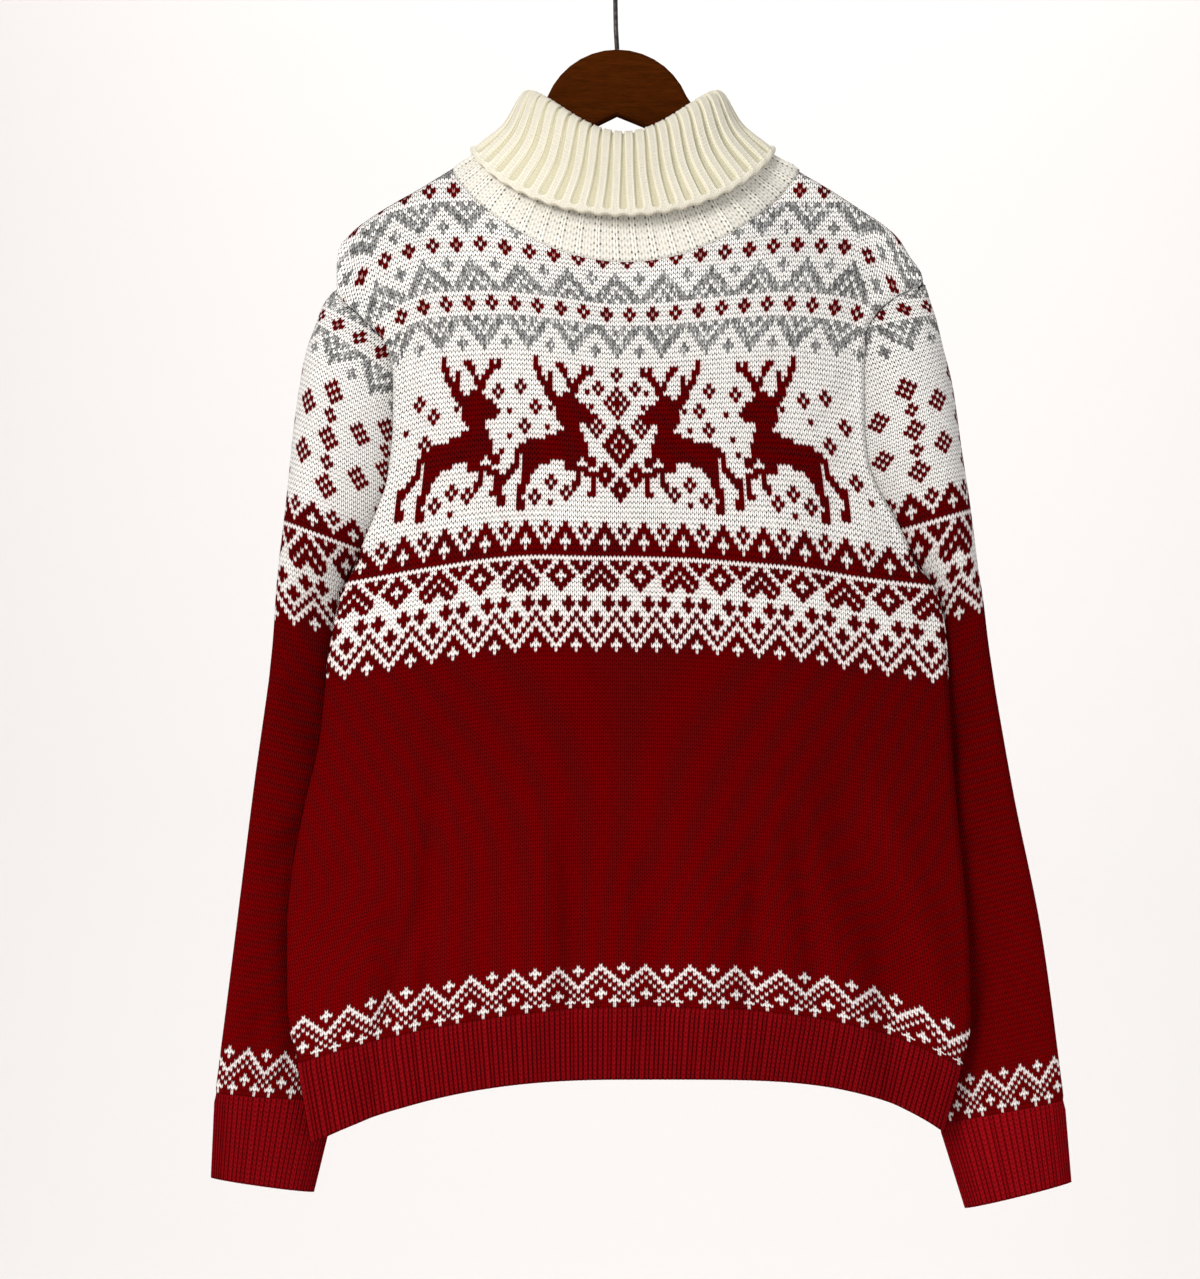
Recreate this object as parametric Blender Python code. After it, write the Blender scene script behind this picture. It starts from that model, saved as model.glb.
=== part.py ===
"""A roll-neck Christmas sweater hanging on a wooden hanger.

Millimetres in the tables and functions, metres in the meshes. +Z is up, the front of the sweater
faces -Y, and the origin is the inside top of the hanger's hook, where a rail carries it.
Each knitted piece is a wall of even thickness on both sides of its own middle surface.
"""

import math

import bpy
import numpy as np

MM = 0.001
CLOTH = 2.4  # thickness of the knitted wall
SEAM = 0.3  # gap between two pieces where they are sewn
RIB_HEIGHT = 0.9  # how far a rib stands out of the wall
COLLAR_RIB_HEIGHT = 1.5

# Outline of the body seen from the front, from the neck down the shoulder, the armhole and the side.
# The wearer's right is at -X. Rows run downwards.
RIGHT_EDGE = dict(
    shoulder=dict(
        x=(-112, -135, -151, -167, -180, -187, -190, -190.4),
        z=(-161, -175, -184, -194, -204, -214, -227, -243),
    ),
    armhole=dict(
        x=(-190.4, -171, -156, -151, -151, -155, -163, -172, -176),
        z=(-243, -265, -282, -304, -332, -372, -395, -415, -426),
    ),
    side=dict(
        x=(-176, -188, -193, -198, -203, -213, -222, -225, -225, -218, -213, -208),
        z=(-426, -451, -472, -503, -549, -593, -641, -675, -726, -769, -799, -823),
    ),
)
LEFT_EDGE = dict(
    shoulder=dict(
        x=(124, 146, 169, 181, 191, 198, 205, 208),
        z=(-163, -176, -191, -199, -208, -219, -231, -239),
    ),
    armhole=dict(
        x=(208, 190, 176, 168, 166.5, 166.5, 169, 175, 186, 195, 204),
        z=(-239, -248, -260, -274, -304, -332, -360, -377, -395, -412, -430),
    ),
    side=dict(
        x=(204, 214, 220, 224, 227, 230, 234, 238, 240, 240.5, 235, 227, 222),
        z=(-430, -443, -457, -480, -535, -583, -624, -665, -699, -740, -769, -799, -817),
    ),
)
HEM_TOP = dict(middle=-726, drop=(43, 43), power=(1.9, 2.6))  # right side, left side
HEM_END = dict(middle=-775, drop=(48, 42), power=(2.3, 3.4))
BACK_HEM_RISE = 1.0

# How far the middle of each panel stands in front of and behind the side seams.
DEPTH = dict(
    z=(-823, -775, -726, -600, -425, -300, -229, -183, -161),
    front=(36, 40, 46, 53, 56, 52, 46, 42, 38),
    back=(26, 29, 33, 38, 42, 43, 42, 40, 36),
)
LENS_POWER = 2.5  # the section of the body is a flat lens
SHOULDER_ROLL = 9.0  # radius of the cloth over the hanger's arm
SHOULDER_FADE = 70.0  # distance below the shoulder at which the panel has its full depth
ROLL_END_Z, ROLL_FADE = -330.0, 70.0  # the roll dies out over this height below the hanger's tips
SIDE_SEAM_Z = -380.0  # below this the panels' ends come to lie face to face at the side seams
ARMHOLE_DEPTH = 24.0  # half the width of the armhole seen from the side

# Soft upright folds of the panels: where, how wide and how deep. A minus depth is a ridge.
FOLDS = dict(
    front=dict(
        x_top=(-150, 172, -20, 84, -128, 150),
        x_end=(-166, 190, -30, 88, -118, 140),
        z_top=(-640, -650, -590, -640, -330, -330),
        z_end=(-823, -817, -760, -740, -450, -455),
        width=(11, 12, 26, 18, 16, 15),
        depth=(4.5, 5.0, 2.5, 2.0, 3.5, 3.5),
    ),
    back=dict(
        x_top=(-120, 128, 20, -60),
        x_end=(-140, 150, 28, -74),
        z_top=(-600, -590, -560, -300),
        z_end=(-815, -812, -760, -460),
        width=(14, 15, 28, 22),
        depth=(4.0, 4.5, 3.0, 2.5),
    ),
)

# The neck seam, and the rings of the roll collar from the seam up, over the fold and down: half width,
# height at the sides, then for front and back the drop at the middle, its power, and the half depth.
NECK_MIDDLE = 6.0
NECK_HALF = 118.0
NECK_SIDE_Z = -162.0
NECK_DROP = dict(front=67.0, back=22.0)
NECK_POWER = dict(front=1.65, back=1.3)
COLLAR_MIDDLE = 4.0
COLLAR_RINGS = (
    dict(name="knee", half=98, side=-149.5, drop=(50, 22), power=(1.4, 1.4), deep=(42.5, 43)),
    dict(name="upper stand", half=78, side=-126, drop=(40, 23), power=(2.0, 2.0), deep=(37, 37)),
    dict(name="fold inside", half=66, side=-111, drop=(33, 26), power=(3.0, 3.0), deep=(33, 33)),
    dict(name="fold top", half=69, side=-107, drop=(32, 26), power=(3.0, 3.0), deep=(37, 37)),
    dict(name="fold outside", half=73, side=-110, drop=(33, 27), power=(3.0, 3.0), deep=(41, 41)),
    dict(name="turned down", half=89, side=-131, drop=(41, 34), power=(1.9, 1.9), deep=(48, 50)),
    dict(name="lower edge", half=105, side=-149, drop=(50, 42), power=(1.4, 1.4), deep=(55, 61)),
)
COLLAR_RIBS = 44

# Sleeves: a column for each height of the inner line, which is the armhole down to the armpit and the
# underarm seam below it. In the armhole the panels' edges give inner_x and inner_y, so those are 0.
# bulge is the roundness between the two lines and turn goes from an open cap (0) to a closed tube (1).
ARMPIT = 7  # the tables' column at the armpit
RIGHT_SLEEVE = dict(
    inner_z=(-243, -265, -282, -304, -332, -372, -400, -426, -442, -460, -500, -600, -700, -797),
    inner_x=(0, 0, 0, 0, 0, 0, 0, -178.5, -182, -179, -168, -172, -184, -194),
    outer_x=(-190, -197, -200, -204, -211, -219, -223, -227, -229, -231, -234, -247, -260, -273),
    outer_z=(-243, -251, -256, -267, -287, -336, -374, -408, -424, -442, -484, -583, -687, -790),
    inner_y=(0, 0, 0, 0, 0, 0, 0, 0, 10, 22, 36, 36, 33, 25),
    outer_y=(0, 2, 3, 4, 5, 6, 7, 8, 8, 9, 10, 11, 11, 10),
    bulge=(0, 2, 3, 5, 7, 9, 12, 15, 17, 17, 16, 15, 12, 10),
    turn=(0, 0, 0, 0, 0, 0, 0.1, 0.3, 0.5, 0.8, 1, 1, 1, 1),
)
LEFT_SLEEVE = dict(
    inner_z=(-239, -260, -274, -304, -332, -372, -400, -430, -446, -464, -504, -604, -704, -812),
    inner_x=(0, 0, 0, 0, 0, 0, 0, 207.5, 214.5, 211, 197, 198, 209, 222),
    outer_x=(208, 213, 216, 221, 227, 234, 239, 243, 245, 248, 253, 269, 289, 304),
    outer_z=(-239, -254, -263, -283, -307, -354, -386, -416, -432, -449, -488, -583, -683, -795),
    inner_y=(0, 0, 0, 0, 0, 0, 0, 0, 10, 22, 36, 36, 33, 25),
    outer_y=(0, 2, 3, 4, 5, 6, 7, 8, 8, 9, 10, 11, 11, 10),
    bulge=(0, 2, 3, 5, 7, 9, 12, 15, 17, 17, 16, 15, 12, 10),
    turn=(0, 0, 0, 0, 0, 0, 0.1, 0.3, 0.5, 0.8, 1, 1, 1, 1),
)
CUFF_END = dict(
    right=dict(outer=(-275.5, -848), inner=(-209, -859), outer_y=9, inner_y=20, bulge=9),
    left=dict(outer=(308.5, -851), inner=(240, -870), outer_y=9, inner_y=20, bulge=9),
)
CUFF_RIBS = 42
HEM_RIBS = 66

# Columns and rows of the panels' meshes.
NECK_SHARE = 0.56  # of the half width, taken by the neck
NECK_COLUMNS = 6
SHOULDER_COLUMNS = (0.3, 0.58, 0.78, 0.9, 1)
ARMHOLE_SEAM = 0.8
BODY_ROWS = (0, 0.09, 0.18, 0.27, 0.36, 0.45, 0.54, 0.62)
ARMHOLE_ROWS = (0.13, 0.27, 0.41, 0.55, 0.68, 0.79, 0.87, 0.93, 0.97, 0.991, 1)
SLEEVE_TURNS = 16
SLEEVE_ROWS = (0.06, 0.13, 0.22, 0.34, 0.48, 0.62, 0.76, 0.89, 1)

HANGER_THICK = 12.0
HANGER_BEVEL = 4.5
HANGER_BELOW_CLOTH = 3.9  # from the cloth's middle to the top of the arm
DOME_RADIUS = 51.0
DOME_TOP = -80.0
NOTCH_TOP = -125.6
WIRE = 3.2
HOOK_RADIUS = 19.5  # to the middle of the wire
HOOK_END = math.radians(212)


def smooth(keys, values, at):
    """A smooth curve through the table's points, which never overshoots them (keys in either order)."""
    keys = np.asarray(keys, float)
    values = np.asarray(values, float)
    if keys[0] > keys[-1]:
        keys, values = keys[::-1], values[::-1]
    at = np.clip(at, keys[0], keys[-1])
    step = np.diff(keys)
    slope = np.diff(values) / step
    inner = np.where(
        slope[:-1] * slope[1:] > 0,
        2 * slope[:-1] * slope[1:] / np.where(slope[:-1] + slope[1:] == 0, 1, slope[:-1] + slope[1:]),
        0,
    )
    tangent = np.concatenate([slope[:1], inner, slope[-1:]])
    i = np.clip(np.searchsorted(keys, at, side="right") - 1, 0, len(keys) - 2)
    s = (at - keys[i]) / step[i]
    return (
        (2 * s**3 - 3 * s**2 + 1) * values[i]
        + (s**3 - 2 * s**2 + s) * step[i] * tangent[i]
        + (3 * s**2 - 2 * s**3) * values[i + 1]
        + (s**3 - s**2) * step[i] * tangent[i + 1]
    )


def ease(value):
    value = np.clip(value, 0, 1)
    return value * value * (3 - 2 * value)


def unit(vectors):
    return vectors / np.maximum(np.linalg.norm(vectors, axis=-1, keepdims=True), 1e-9)


# --- the body's surface ---------------------------------------------------------------------------


def edge_line(edge, *parts):
    """The points (x, z) of an edge's parts, one after another, without their shared ends."""
    x = sum((edge[part]["x"][1 if part != parts[0] else 0 :] for part in parts), ())
    z = sum((edge[part]["z"][1 if part != parts[0] else 0 :] for part in parts), ())
    return x, z


def edge_x(edge, z):
    x_table, z_table = edge_line(edge, "shoulder", "armhole", "side")
    return smooth(z_table, x_table, z)


def shoulder_distance(x, z):
    """How far a point of the front view is from the nearer shoulder seam."""
    best = np.full(np.shape(x), 1e9)
    for edge in (RIGHT_EDGE, LEFT_EDGE):
        xs, zs = edge["shoulder"]["x"], edge["shoulder"]["z"]
        for x0, z0, x1, z1 in zip(xs, zs, xs[1:], zs[1:]):
            along = np.clip(
                ((x - x0) * (x1 - x0) + (z - z0) * (z1 - z0)) / ((x1 - x0) ** 2 + (z1 - z0) ** 2), 0, 1
            )
            best = np.minimum(best, np.hypot(x - x0 - along * (x1 - x0), z - z0 - along * (z1 - z0)))
    return best


def fold_depth(x, z, folds):
    total = np.zeros(np.shape(x))
    for x_top, x_end, z_top, z_end, width, depth in zip(*folds.values()):
        down = (z_top - z) / (z_top - z_end)
        across = (x - x_top - (x_end - x_top) * down) / width
        total += depth * np.exp(-across * across) * ease(3 * down) * ease(6 * (1.02 - down))
    return total


def body_y(x, z, face):
    """Distance of the panel's middle surface from the plane of the side seams."""
    right, left = edge_x(RIGHT_EDGE, z), edge_x(LEFT_EDGE, z)
    across = np.clip(2 * (x - right) / (left - right) - 1, -1, 1)
    lens = 1 - np.abs(across) ** LENS_POWER
    armhole_top, armpit = (
        np.where(x < 0, RIGHT_EDGE["armhole"]["z"][end], LEFT_EDGE["armhole"]["z"][end]) for end in (0, -1)
    )
    up = np.clip((z - armpit) / (armhole_top - armpit), 0, 1)
    armhole = ARMHOLE_DEPTH * np.maximum(np.sin(np.pi * up), 0) ** 0.75
    below = shoulder_distance(x, z)
    roll = SHOULDER_ROLL * np.sqrt(1 - (1 - np.minimum(below / SHOULDER_ROLL, 1)) ** 2)
    roll = roll * ease((z - ROLL_END_Z) / ROLL_FADE)
    edge = (armhole**3 + roll**3) ** (1 / 3)
    middle = smooth(DEPTH["z"], DEPTH[face], z)
    seam = SEAM / 2 + CLOTH / 2 * ease((SIDE_SEAM_Z - z) / 50)
    depth = seam + edge + (middle - edge) * lens * ease(below / SHOULDER_FADE)
    return depth - fold_depth(x, z, FOLDS[face]) * ease(4 * lens)


def body_point(x, z, face):
    y = body_y(x, z, face)
    return np.stack([x, -y if face == "front" else y, z], axis=-1)


def hem_line(x, hem):
    """Height of the rib's top or end: it hangs lower at the sides, and more so on one."""
    right, left = edge_x(RIGHT_EDGE, hem["middle"]), edge_x(LEFT_EDGE, hem["middle"])
    across = np.clip(2 * (x - right) / (left - right) - 1, -1.02, 1.02)
    side = (across > 0).astype(int)
    drop = np.array(hem["drop"])[side]
    power = np.array(hem["power"])[side]
    return hem["middle"] - drop * np.abs(across) ** power


def neck_line(angle, face):
    """The neck seam in the front view, angle 0 at the middle and 90 degrees at the left shoulder."""
    drop = NECK_DROP[face] * np.maximum(np.cos(angle), 0) ** NECK_POWER[face]
    return NECK_MIDDLE + NECK_HALF * np.sin(angle), NECK_SIDE_Z - drop


def panel_columns():
    """Places of the columns across a panel: -1 and 1 at the sides, and even along the neck and shoulders."""
    neck = np.linspace(-1, 1, 2 * NECK_COLUMNS + 1) * NECK_SHARE
    shoulder = NECK_SHARE + (1 - NECK_SHARE) * np.array(SHOULDER_COLUMNS)
    return np.concatenate([-shoulder[::-1], neck, shoulder])


def panel_rows():
    armpit = BODY_ROWS[-1]
    return np.array(BODY_ROWS + tuple(armpit + (1 - armpit) * row for row in ARMHOLE_ROWS))


def top_boundary(columns, face):
    """The shoulder seams and the neck seam as one line over the panel's top."""
    points = []
    for column in columns:
        if abs(column) <= NECK_SHARE + 1e-9:
            points.append(neck_line(np.array(column / NECK_SHARE * math.pi / 2), face))
            continue
        edge = RIGHT_EDGE if column < 0 else LEFT_EDGE
        x, z = edge["shoulder"]["x"], edge["shoulder"]["z"]
        run = np.concatenate([[0], np.cumsum(np.hypot(np.diff(x), np.diff(z)))])
        out = (abs(column) - NECK_SHARE) / (1 - NECK_SHARE) * run[-1]
        points.append((smooth(run, x, out), smooth(run, z, out)))
    return np.array([(float(x), float(z)) for x, z in points])


def side_boundary(edge, rows):
    """The side seam and the armhole, from the rib up, at the panel's rows."""
    x_table, z_table = edge_line(edge, "armhole", "side")
    armpit_z = edge["side"]["z"][0]
    low_z = HEM_TOP["middle"] - HEM_TOP["drop"][0]
    top_z = edge["armhole"]["z"][0]
    armpit = BODY_ROWS[-1]
    z = np.where(
        rows <= armpit,
        low_z + (armpit_z - low_z) * rows / armpit,
        armpit_z + (top_z - armpit_z) * (rows - armpit) / (1 - armpit),
    )
    return np.stack([smooth(z_table, x_table, z), z], axis=-1)


def panel_middle(face):
    """A grid [column, row] over the panel, spanned between its four edges."""
    columns, rows = panel_columns(), panel_rows()
    right, left = side_boundary(RIGHT_EDGE, rows), side_boundary(LEFT_EDGE, rows)
    top = top_boundary(columns, face)
    across = (columns[:, None, None] + 1) / 2
    up = rows[None, :, None]
    low_x = right[0, 0] + (left[0, 0] - right[0, 0]) * across[:, 0, 0]
    low = np.stack([low_x, hem_line(low_x, HEM_TOP)], axis=-1)
    low[0], low[-1] = right[0], left[0]
    flat = (
        (1 - across) * right[None] + across * left[None] + (1 - up) * low[:, None] + up * top[:, None]
        - (1 - across) * (1 - up) * low[0] - across * (1 - up) * low[-1]
        - (1 - across) * up * top[0] - across * up * top[-1]
    )
    return body_point(flat[..., 0], flat[..., 1], face)


# --- walls ----------------------------------------------------------------------------------------


def grid_normals(middle, closed=False):
    """Unit normals of a grid of points, by differences along its two directions."""
    if closed:
        along_u = np.roll(middle, -1, axis=0) - np.roll(middle, 1, axis=0)
    else:
        along_u = np.gradient(middle, axis=0)
    return unit(np.cross(along_u, np.gradient(middle, axis=1)))


def link(collection_name, obj):
    collection = bpy.data.collections.get(collection_name)
    if collection is None:
        collection = bpy.data.collections.new(collection_name)
        bpy.context.scene.collection.children.link(collection)
    collection.objects.link(obj)


def wall(name, outside, inside, material, closed=False):
    """A closed solid between two grids of points, its faces pointing out."""
    count_u, count_v = outside.shape[:2]
    around = count_u if closed else count_u - 1

    def at(side, i, j):
        return (side * count_u + i % count_u) * count_v + j

    faces = []
    for i in range(around):
        for j in range(count_v - 1):
            faces.append([at(0, i, j), at(0, i + 1, j), at(0, i + 1, j + 1), at(0, i, j + 1)])
            faces.append([at(1, i, j + 1), at(1, i + 1, j + 1), at(1, i + 1, j), at(1, i, j)])
        faces.append([at(0, i + 1, 0), at(0, i, 0), at(1, i, 0), at(1, i + 1, 0)])
        last = count_v - 1
        faces.append([at(0, i, last), at(0, i + 1, last), at(1, i + 1, last), at(1, i, last)])
    if not closed:
        for j in range(count_v - 1):
            faces.append([at(0, 0, j), at(0, 0, j + 1), at(1, 0, j + 1), at(1, 0, j)])
            end = count_u - 1
            faces.append([at(0, end, j + 1), at(0, end, j), at(1, end, j), at(1, end, j + 1)])
    points = np.concatenate([outside.reshape(-1, 3), inside.reshape(-1, 3)]) * MM
    corners = points[np.array(faces)]
    diagonals = np.cross(corners[:, 2] - corners[:, 0], corners[:, 3] - corners[:, 1])
    if np.sum(corners.mean(axis=1) * diagonals) < 0:
        faces = [face[::-1] for face in faces]
    mesh = bpy.data.meshes.new(name)
    mesh.from_pydata(points.tolist(), [], faces)
    mesh.update()
    mesh.shade_smooth()
    mesh.set_sharp_from_angle(angle=math.radians(50))
    mesh.materials.append(material)
    link("christmas_sweater", bpy.data.objects.new(name, mesh))


def plain_material(name, colour, roughness, metallic=0.0):
    material = bpy.data.materials.new(name)
    material.use_nodes = True
    shader = material.node_tree.nodes["Principled BSDF"]
    shader.inputs["Base Color"].default_value = (*colour, 1)
    shader.inputs["Roughness"].default_value = roughness
    shader.inputs["Metallic"].default_value = metallic
    return material


# --- pieces ---------------------------------------------------------------------------------------


def keep_side(points, face):
    """Front pieces stay in front of the seam plane and back pieces behind it."""
    points = points.copy()
    limit = SEAM / 2
    points[..., 1] = np.minimum(points[..., 1], -limit) if face == "front" else np.maximum(points[..., 1], limit)
    return points


def shoulder_normals(normals, columns):
    """At the shoulder seams the cloth lies on the arm, so its ends meet square."""
    for i, column in enumerate(columns):
        if abs(column) < NECK_SHARE - 1e-9:
            continue
        edge = RIGHT_EDGE if column < 0 else LEFT_EDGE
        x, z = edge["shoulder"]["x"], edge["shoulder"]["z"]
        run = np.concatenate([[0], np.cumsum(np.hypot(np.diff(x), np.diff(z)))])
        out = (abs(column) - NECK_SHARE) / (1 - NECK_SHARE) * run[-1]
        ahead, behind = min(out + 4, run[-1]), max(out - 4, 0)
        run_x = smooth(run, x, ahead) - smooth(run, x, behind)
        run_z = smooth(run, z, ahead) - smooth(run, z, behind)
        sign = 1 if column > 0 else -1
        normals[i, -1] = unit(np.array([-run_z * sign, 0, run_x * sign]))
    return normals


def make_panel(face, material):
    middle = panel_middle(face)
    out = -1 if face == "front" else 1
    normals = grid_normals(middle)
    normals = normals * np.sign(np.sum(normals[..., 1]) * out)
    normals = shoulder_normals(normals, panel_columns())
    outside = keep_side(middle + normals * CLOTH / 2, face)
    inside = keep_side(middle - normals * CLOTH / 2, face)
    wall(face, outside, inside, material)
    return dict(middle=middle, normals=normals)


def make_hem(face, panel, material):
    """The ribbed band under a panel: its top follows the panel's lower edge, point for point."""
    count = 2 * HEM_RIBS + 1
    place = np.linspace(0, len(panel["middle"]) - 1, count)
    index = np.arange(len(panel["middle"]))

    def along(values):
        return np.stack([np.interp(place, index, values[:, k]) for k in range(3)], axis=-1)

    top, top_normals = along(panel["middle"][:, 0]), unit(along(panel["normals"][:, 0]))
    top = top - np.array([0, 0, SEAM])
    across = (top[:, 0] - top[0, 0]) / (top[-1, 0] - top[0, 0])
    right, left = RIGHT_EDGE["side"]["x"][-1], LEFT_EDGE["side"]["x"][-1]
    end_x = right + (left - right) * across
    end_z = hem_line(end_x, HEM_END) + (BACK_HEM_RISE if face == "back" else 0)
    end_z[0], end_z[-1] = HEM_END["middle"] - HEM_END["drop"][0], HEM_END["middle"] - HEM_END["drop"][1]
    levels = np.array([0.0, 0.1, 1.0])
    x = top[:, None, 0] + (end_x - top[:, 0])[:, None] * levels
    z = top[:, None, 2] + (end_z - top[:, 2])[:, None] * levels
    middle = body_point(x, z, face)
    middle[:, 0] = top
    normals = grid_normals(middle)
    out = -1 if face == "front" else 1
    normals = normals * np.sign(np.sum(normals[..., 1]) * out)
    normals[:, 0] = top_normals
    rib = RIB_HEIGHT * (np.arange(count) % 2)[:, None] * np.array([0, 1, 1])
    outside = keep_side(middle + normals * (CLOTH / 2 + rib[..., None]), face)
    inside = keep_side(middle - normals * CLOTH / 2, face)
    wall("hem_" + face, outside, inside, material)


def sleeve_ring(turns, outer, inner, outer_y, front_y, back_y, bulge, turn):
    """One row of a sleeve: from the back of the inner line round the outer line to its front."""
    angle = np.abs(turns) * math.pi / 2
    share = (1 - turn) * np.cos(angle) + turn * np.cos(angle) ** 2
    x = inner[0] + (outer[0] - inner[0]) * share
    z = inner[1] + (outer[1] - inner[1]) * share
    inner_y = np.where(turns > 0, front_y, back_y)
    lean = (1 - turn) * np.sin(angle) + turn * np.sin(angle) ** 2
    y = outer_y + (inner_y - outer_y) * lean - np.sign(turns) * bulge * np.sin(2 * angle)
    return np.stack([x, y, z], axis=-1)


def armhole_edges(side, panels):
    """The front and back panels' armhole edges from the armpit up: places, normals and gap directions."""
    column = 0 if side == "right" else -1
    first = len(BODY_ROWS) - 1
    found = {}
    for face, panel in panels.items():
        place, normal = panel["middle"][column, first:], panel["normals"][column, first:]
        gap = unit(np.cross(np.gradient(place, axis=0), normal))
        outwards = np.sign(gap[:, 0:1]) * (-1 if side == "right" else 1)
        found[face] = place, normal, gap * outwards
    return found


def make_sleeve(side, panels, material):
    table = RIGHT_SLEEVE if side == "right" else LEFT_SLEEVE
    edges = armhole_edges(side, panels)
    turns = np.linspace(-1, 1, SLEEVE_TURNS + 1)
    rows, end_normals = [], []

    def column(name, z):
        return float(smooth(table["inner_z"], table[name], z))

    cap = range(len(edges["front"][0]) - 2, 0, -1)
    for k in cap:
        front, back = (edges[face][0][k] + edges[face][2][k] * ARMHOLE_SEAM for face in ("front", "back"))
        z = edges["front"][0][k, 2]
        row = sleeve_ring(
            turns, (column("outer_x", z), column("outer_z", z)), (front[0], front[2]),
            column("outer_y", z), front[1], back[1], column("bulge", z), column("turn", z),
        )
        row[0], row[-1] = back, front
        rows.append(row)
        end_normals.append((edges["back"][1][k], edges["front"][1][k]))
    start, end = table["inner_z"][ARMPIT] - SEAM, table["inner_z"][-1]
    for share in (0,) + SLEEVE_ROWS:
        z = start + (end - start) * share
        inner = (column("inner_x", z), z)
        outer = (column("outer_x", z), column("outer_z", z))
        y = column("inner_y", z)
        rows.append(
            sleeve_ring(
                turns, outer, inner, column("outer_y", z), y - SEAM / 2, y + SEAM / 2,
                column("bulge", z), column("turn", z),
            )
        )
        inwards = unit(np.array([inner[0] - outer[0], y - column("outer_y", z), inner[1] - outer[1]]))
        end_normals.append((inwards, inwards))
    middle = np.stack(rows, axis=1)
    normals = grid_normals(middle)
    centre = middle.mean(axis=0, keepdims=True)
    normals = normals * np.sign(np.sum(normals[:, -5:] * (middle - centre)[:, -5:]))
    for j, (back, front) in enumerate(end_normals):
        normals[0, j], normals[-1, j] = back, front
    outside, inside = middle + normals * CLOTH / 2, middle - normals * CLOTH / 2
    wall("sleeve_" + side, outside, inside, material)


def make_cuff(side, material):
    """The ribbed tube at the wrist, closed round, 0.3 mm below the sleeve."""
    table = RIGHT_SLEEVE if side == "right" else LEFT_SLEEVE
    end = CUFF_END[side]
    count = 2 * CUFF_RIBS
    angle = np.arange(count) * 2 * math.pi / count
    top = {name: values[-1] for name, values in table.items()}
    rows = []
    for level in (0.0, 0.08, 1.0):
        outer = np.array([top["outer_x"], top["outer_z"]]) * (1 - level) + np.array(end["outer"]) * level
        inner = np.array([top["inner_x"], top["inner_z"]]) * (1 - level) + np.array(end["inner"]) * level
        outer_y = top["outer_y"] * (1 - level) + end["outer_y"] * level
        inner_y = top["inner_y"] * (1 - level) + end["inner_y"] * level
        bulge = top["bulge"] * (1 - level) + end["bulge"] * level
        share = (1 + np.cos(angle)) / 2
        x = inner[0] + (outer[0] - inner[0]) * share
        z = inner[1] + (outer[1] - inner[1]) * share - 2 * SEAM * (level == 0)
        y = inner_y + (outer_y - inner_y) * share - bulge * np.sin(angle)
        rows.append(np.stack([x, y, z], axis=-1))
    middle = np.stack(rows, axis=1)
    normals = grid_normals(middle, closed=True)
    centre = middle.mean(axis=0, keepdims=True)
    normals = normals * np.sign(np.sum(normals * (middle - centre)))
    rib = RIB_HEIGHT * (np.arange(count) % 2)[:, None] * np.array([0, 1, 1])
    outside, inside = middle + normals * (CLOTH / 2 + rib[..., None]), middle - normals * CLOTH / 2
    wall("cuff_" + side, outside, inside, material, closed=True)


def ring_point(ring, angle):
    """A point of a collar ring; angle 0 is the middle of the front and a quarter turn the left side."""
    front = np.cos(angle) >= 0
    cosine = np.abs(np.cos(angle))
    drop = np.where(front, ring["drop"][0] * cosine ** ring["power"][0], ring["drop"][1] * cosine ** ring["power"][1])
    deep = np.where(front, -ring["deep"][0], ring["deep"][1])
    x = COLLAR_MIDDLE + ring["half"] * np.sin(angle)
    return np.stack([x, deep * cosine, ring["side"] - drop], axis=-1)


def neck_edge(panels, angle):
    """The neck seam's edge as the panels' meshes have it, with its normals."""
    columns = panel_columns()
    neck = np.abs(columns) <= NECK_SHARE + 1e-9
    at = columns[neck] / NECK_SHARE * math.pi / 2
    across = np.arcsin(np.sin(angle))
    place = np.zeros((len(angle), 3))
    normal = np.zeros((len(angle), 3))
    for face, use in (("front", np.cos(angle) >= 0), ("back", np.cos(angle) < 0)):
        edge, edge_normal = panels[face]["middle"][neck, -1], panels[face]["normals"][neck, -1]
        for k in range(3):
            place[use, k] = np.interp(across[use], at, edge[:, k])
            normal[use, k] = np.interp(across[use], at, edge_normal[:, k])
    return place, unit(normal)


def make_collar(panels, material):
    """One ribbed tube: it stands up from the neck seam, folds over and hangs down outside itself."""
    count = 2 * COLLAR_RIBS
    angle = (np.arange(count) + 0.5) * 2 * math.pi / count - math.pi
    base, base_normals = neck_edge(panels, angle)
    rings = [ring_point(ring, angle) for ring in COLLAR_RINGS]
    gap = unit(rings[0] - base)
    middle = np.stack([base + gap * 2 * SEAM] + rings, axis=1)
    normals = grid_normals(middle, closed=True)
    outwards = middle[:, 0] - np.array([COLLAR_MIDDLE, 0, 0])
    normals = normals * np.sign(np.sum(normals[:, 1, :2] * outwards[:, :2]))
    normals[:, 0] = base_normals
    ridge = COLLAR_RIB_HEIGHT * (np.arange(count) % 2)[:, None]
    on_stand = ridge * np.array([0, 1, 0.7, 0, 0, 0, 0, 0])
    on_fold = ridge * np.array([0, 0, 0, 0, 0.6, 1, 1, 1])
    outside = middle + normals * (CLOTH / 2 + on_stand[..., None])
    inside = middle - normals * (CLOTH / 2 + on_fold[..., None])
    wall("collar", outside, inside, material, closed=True)


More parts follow.
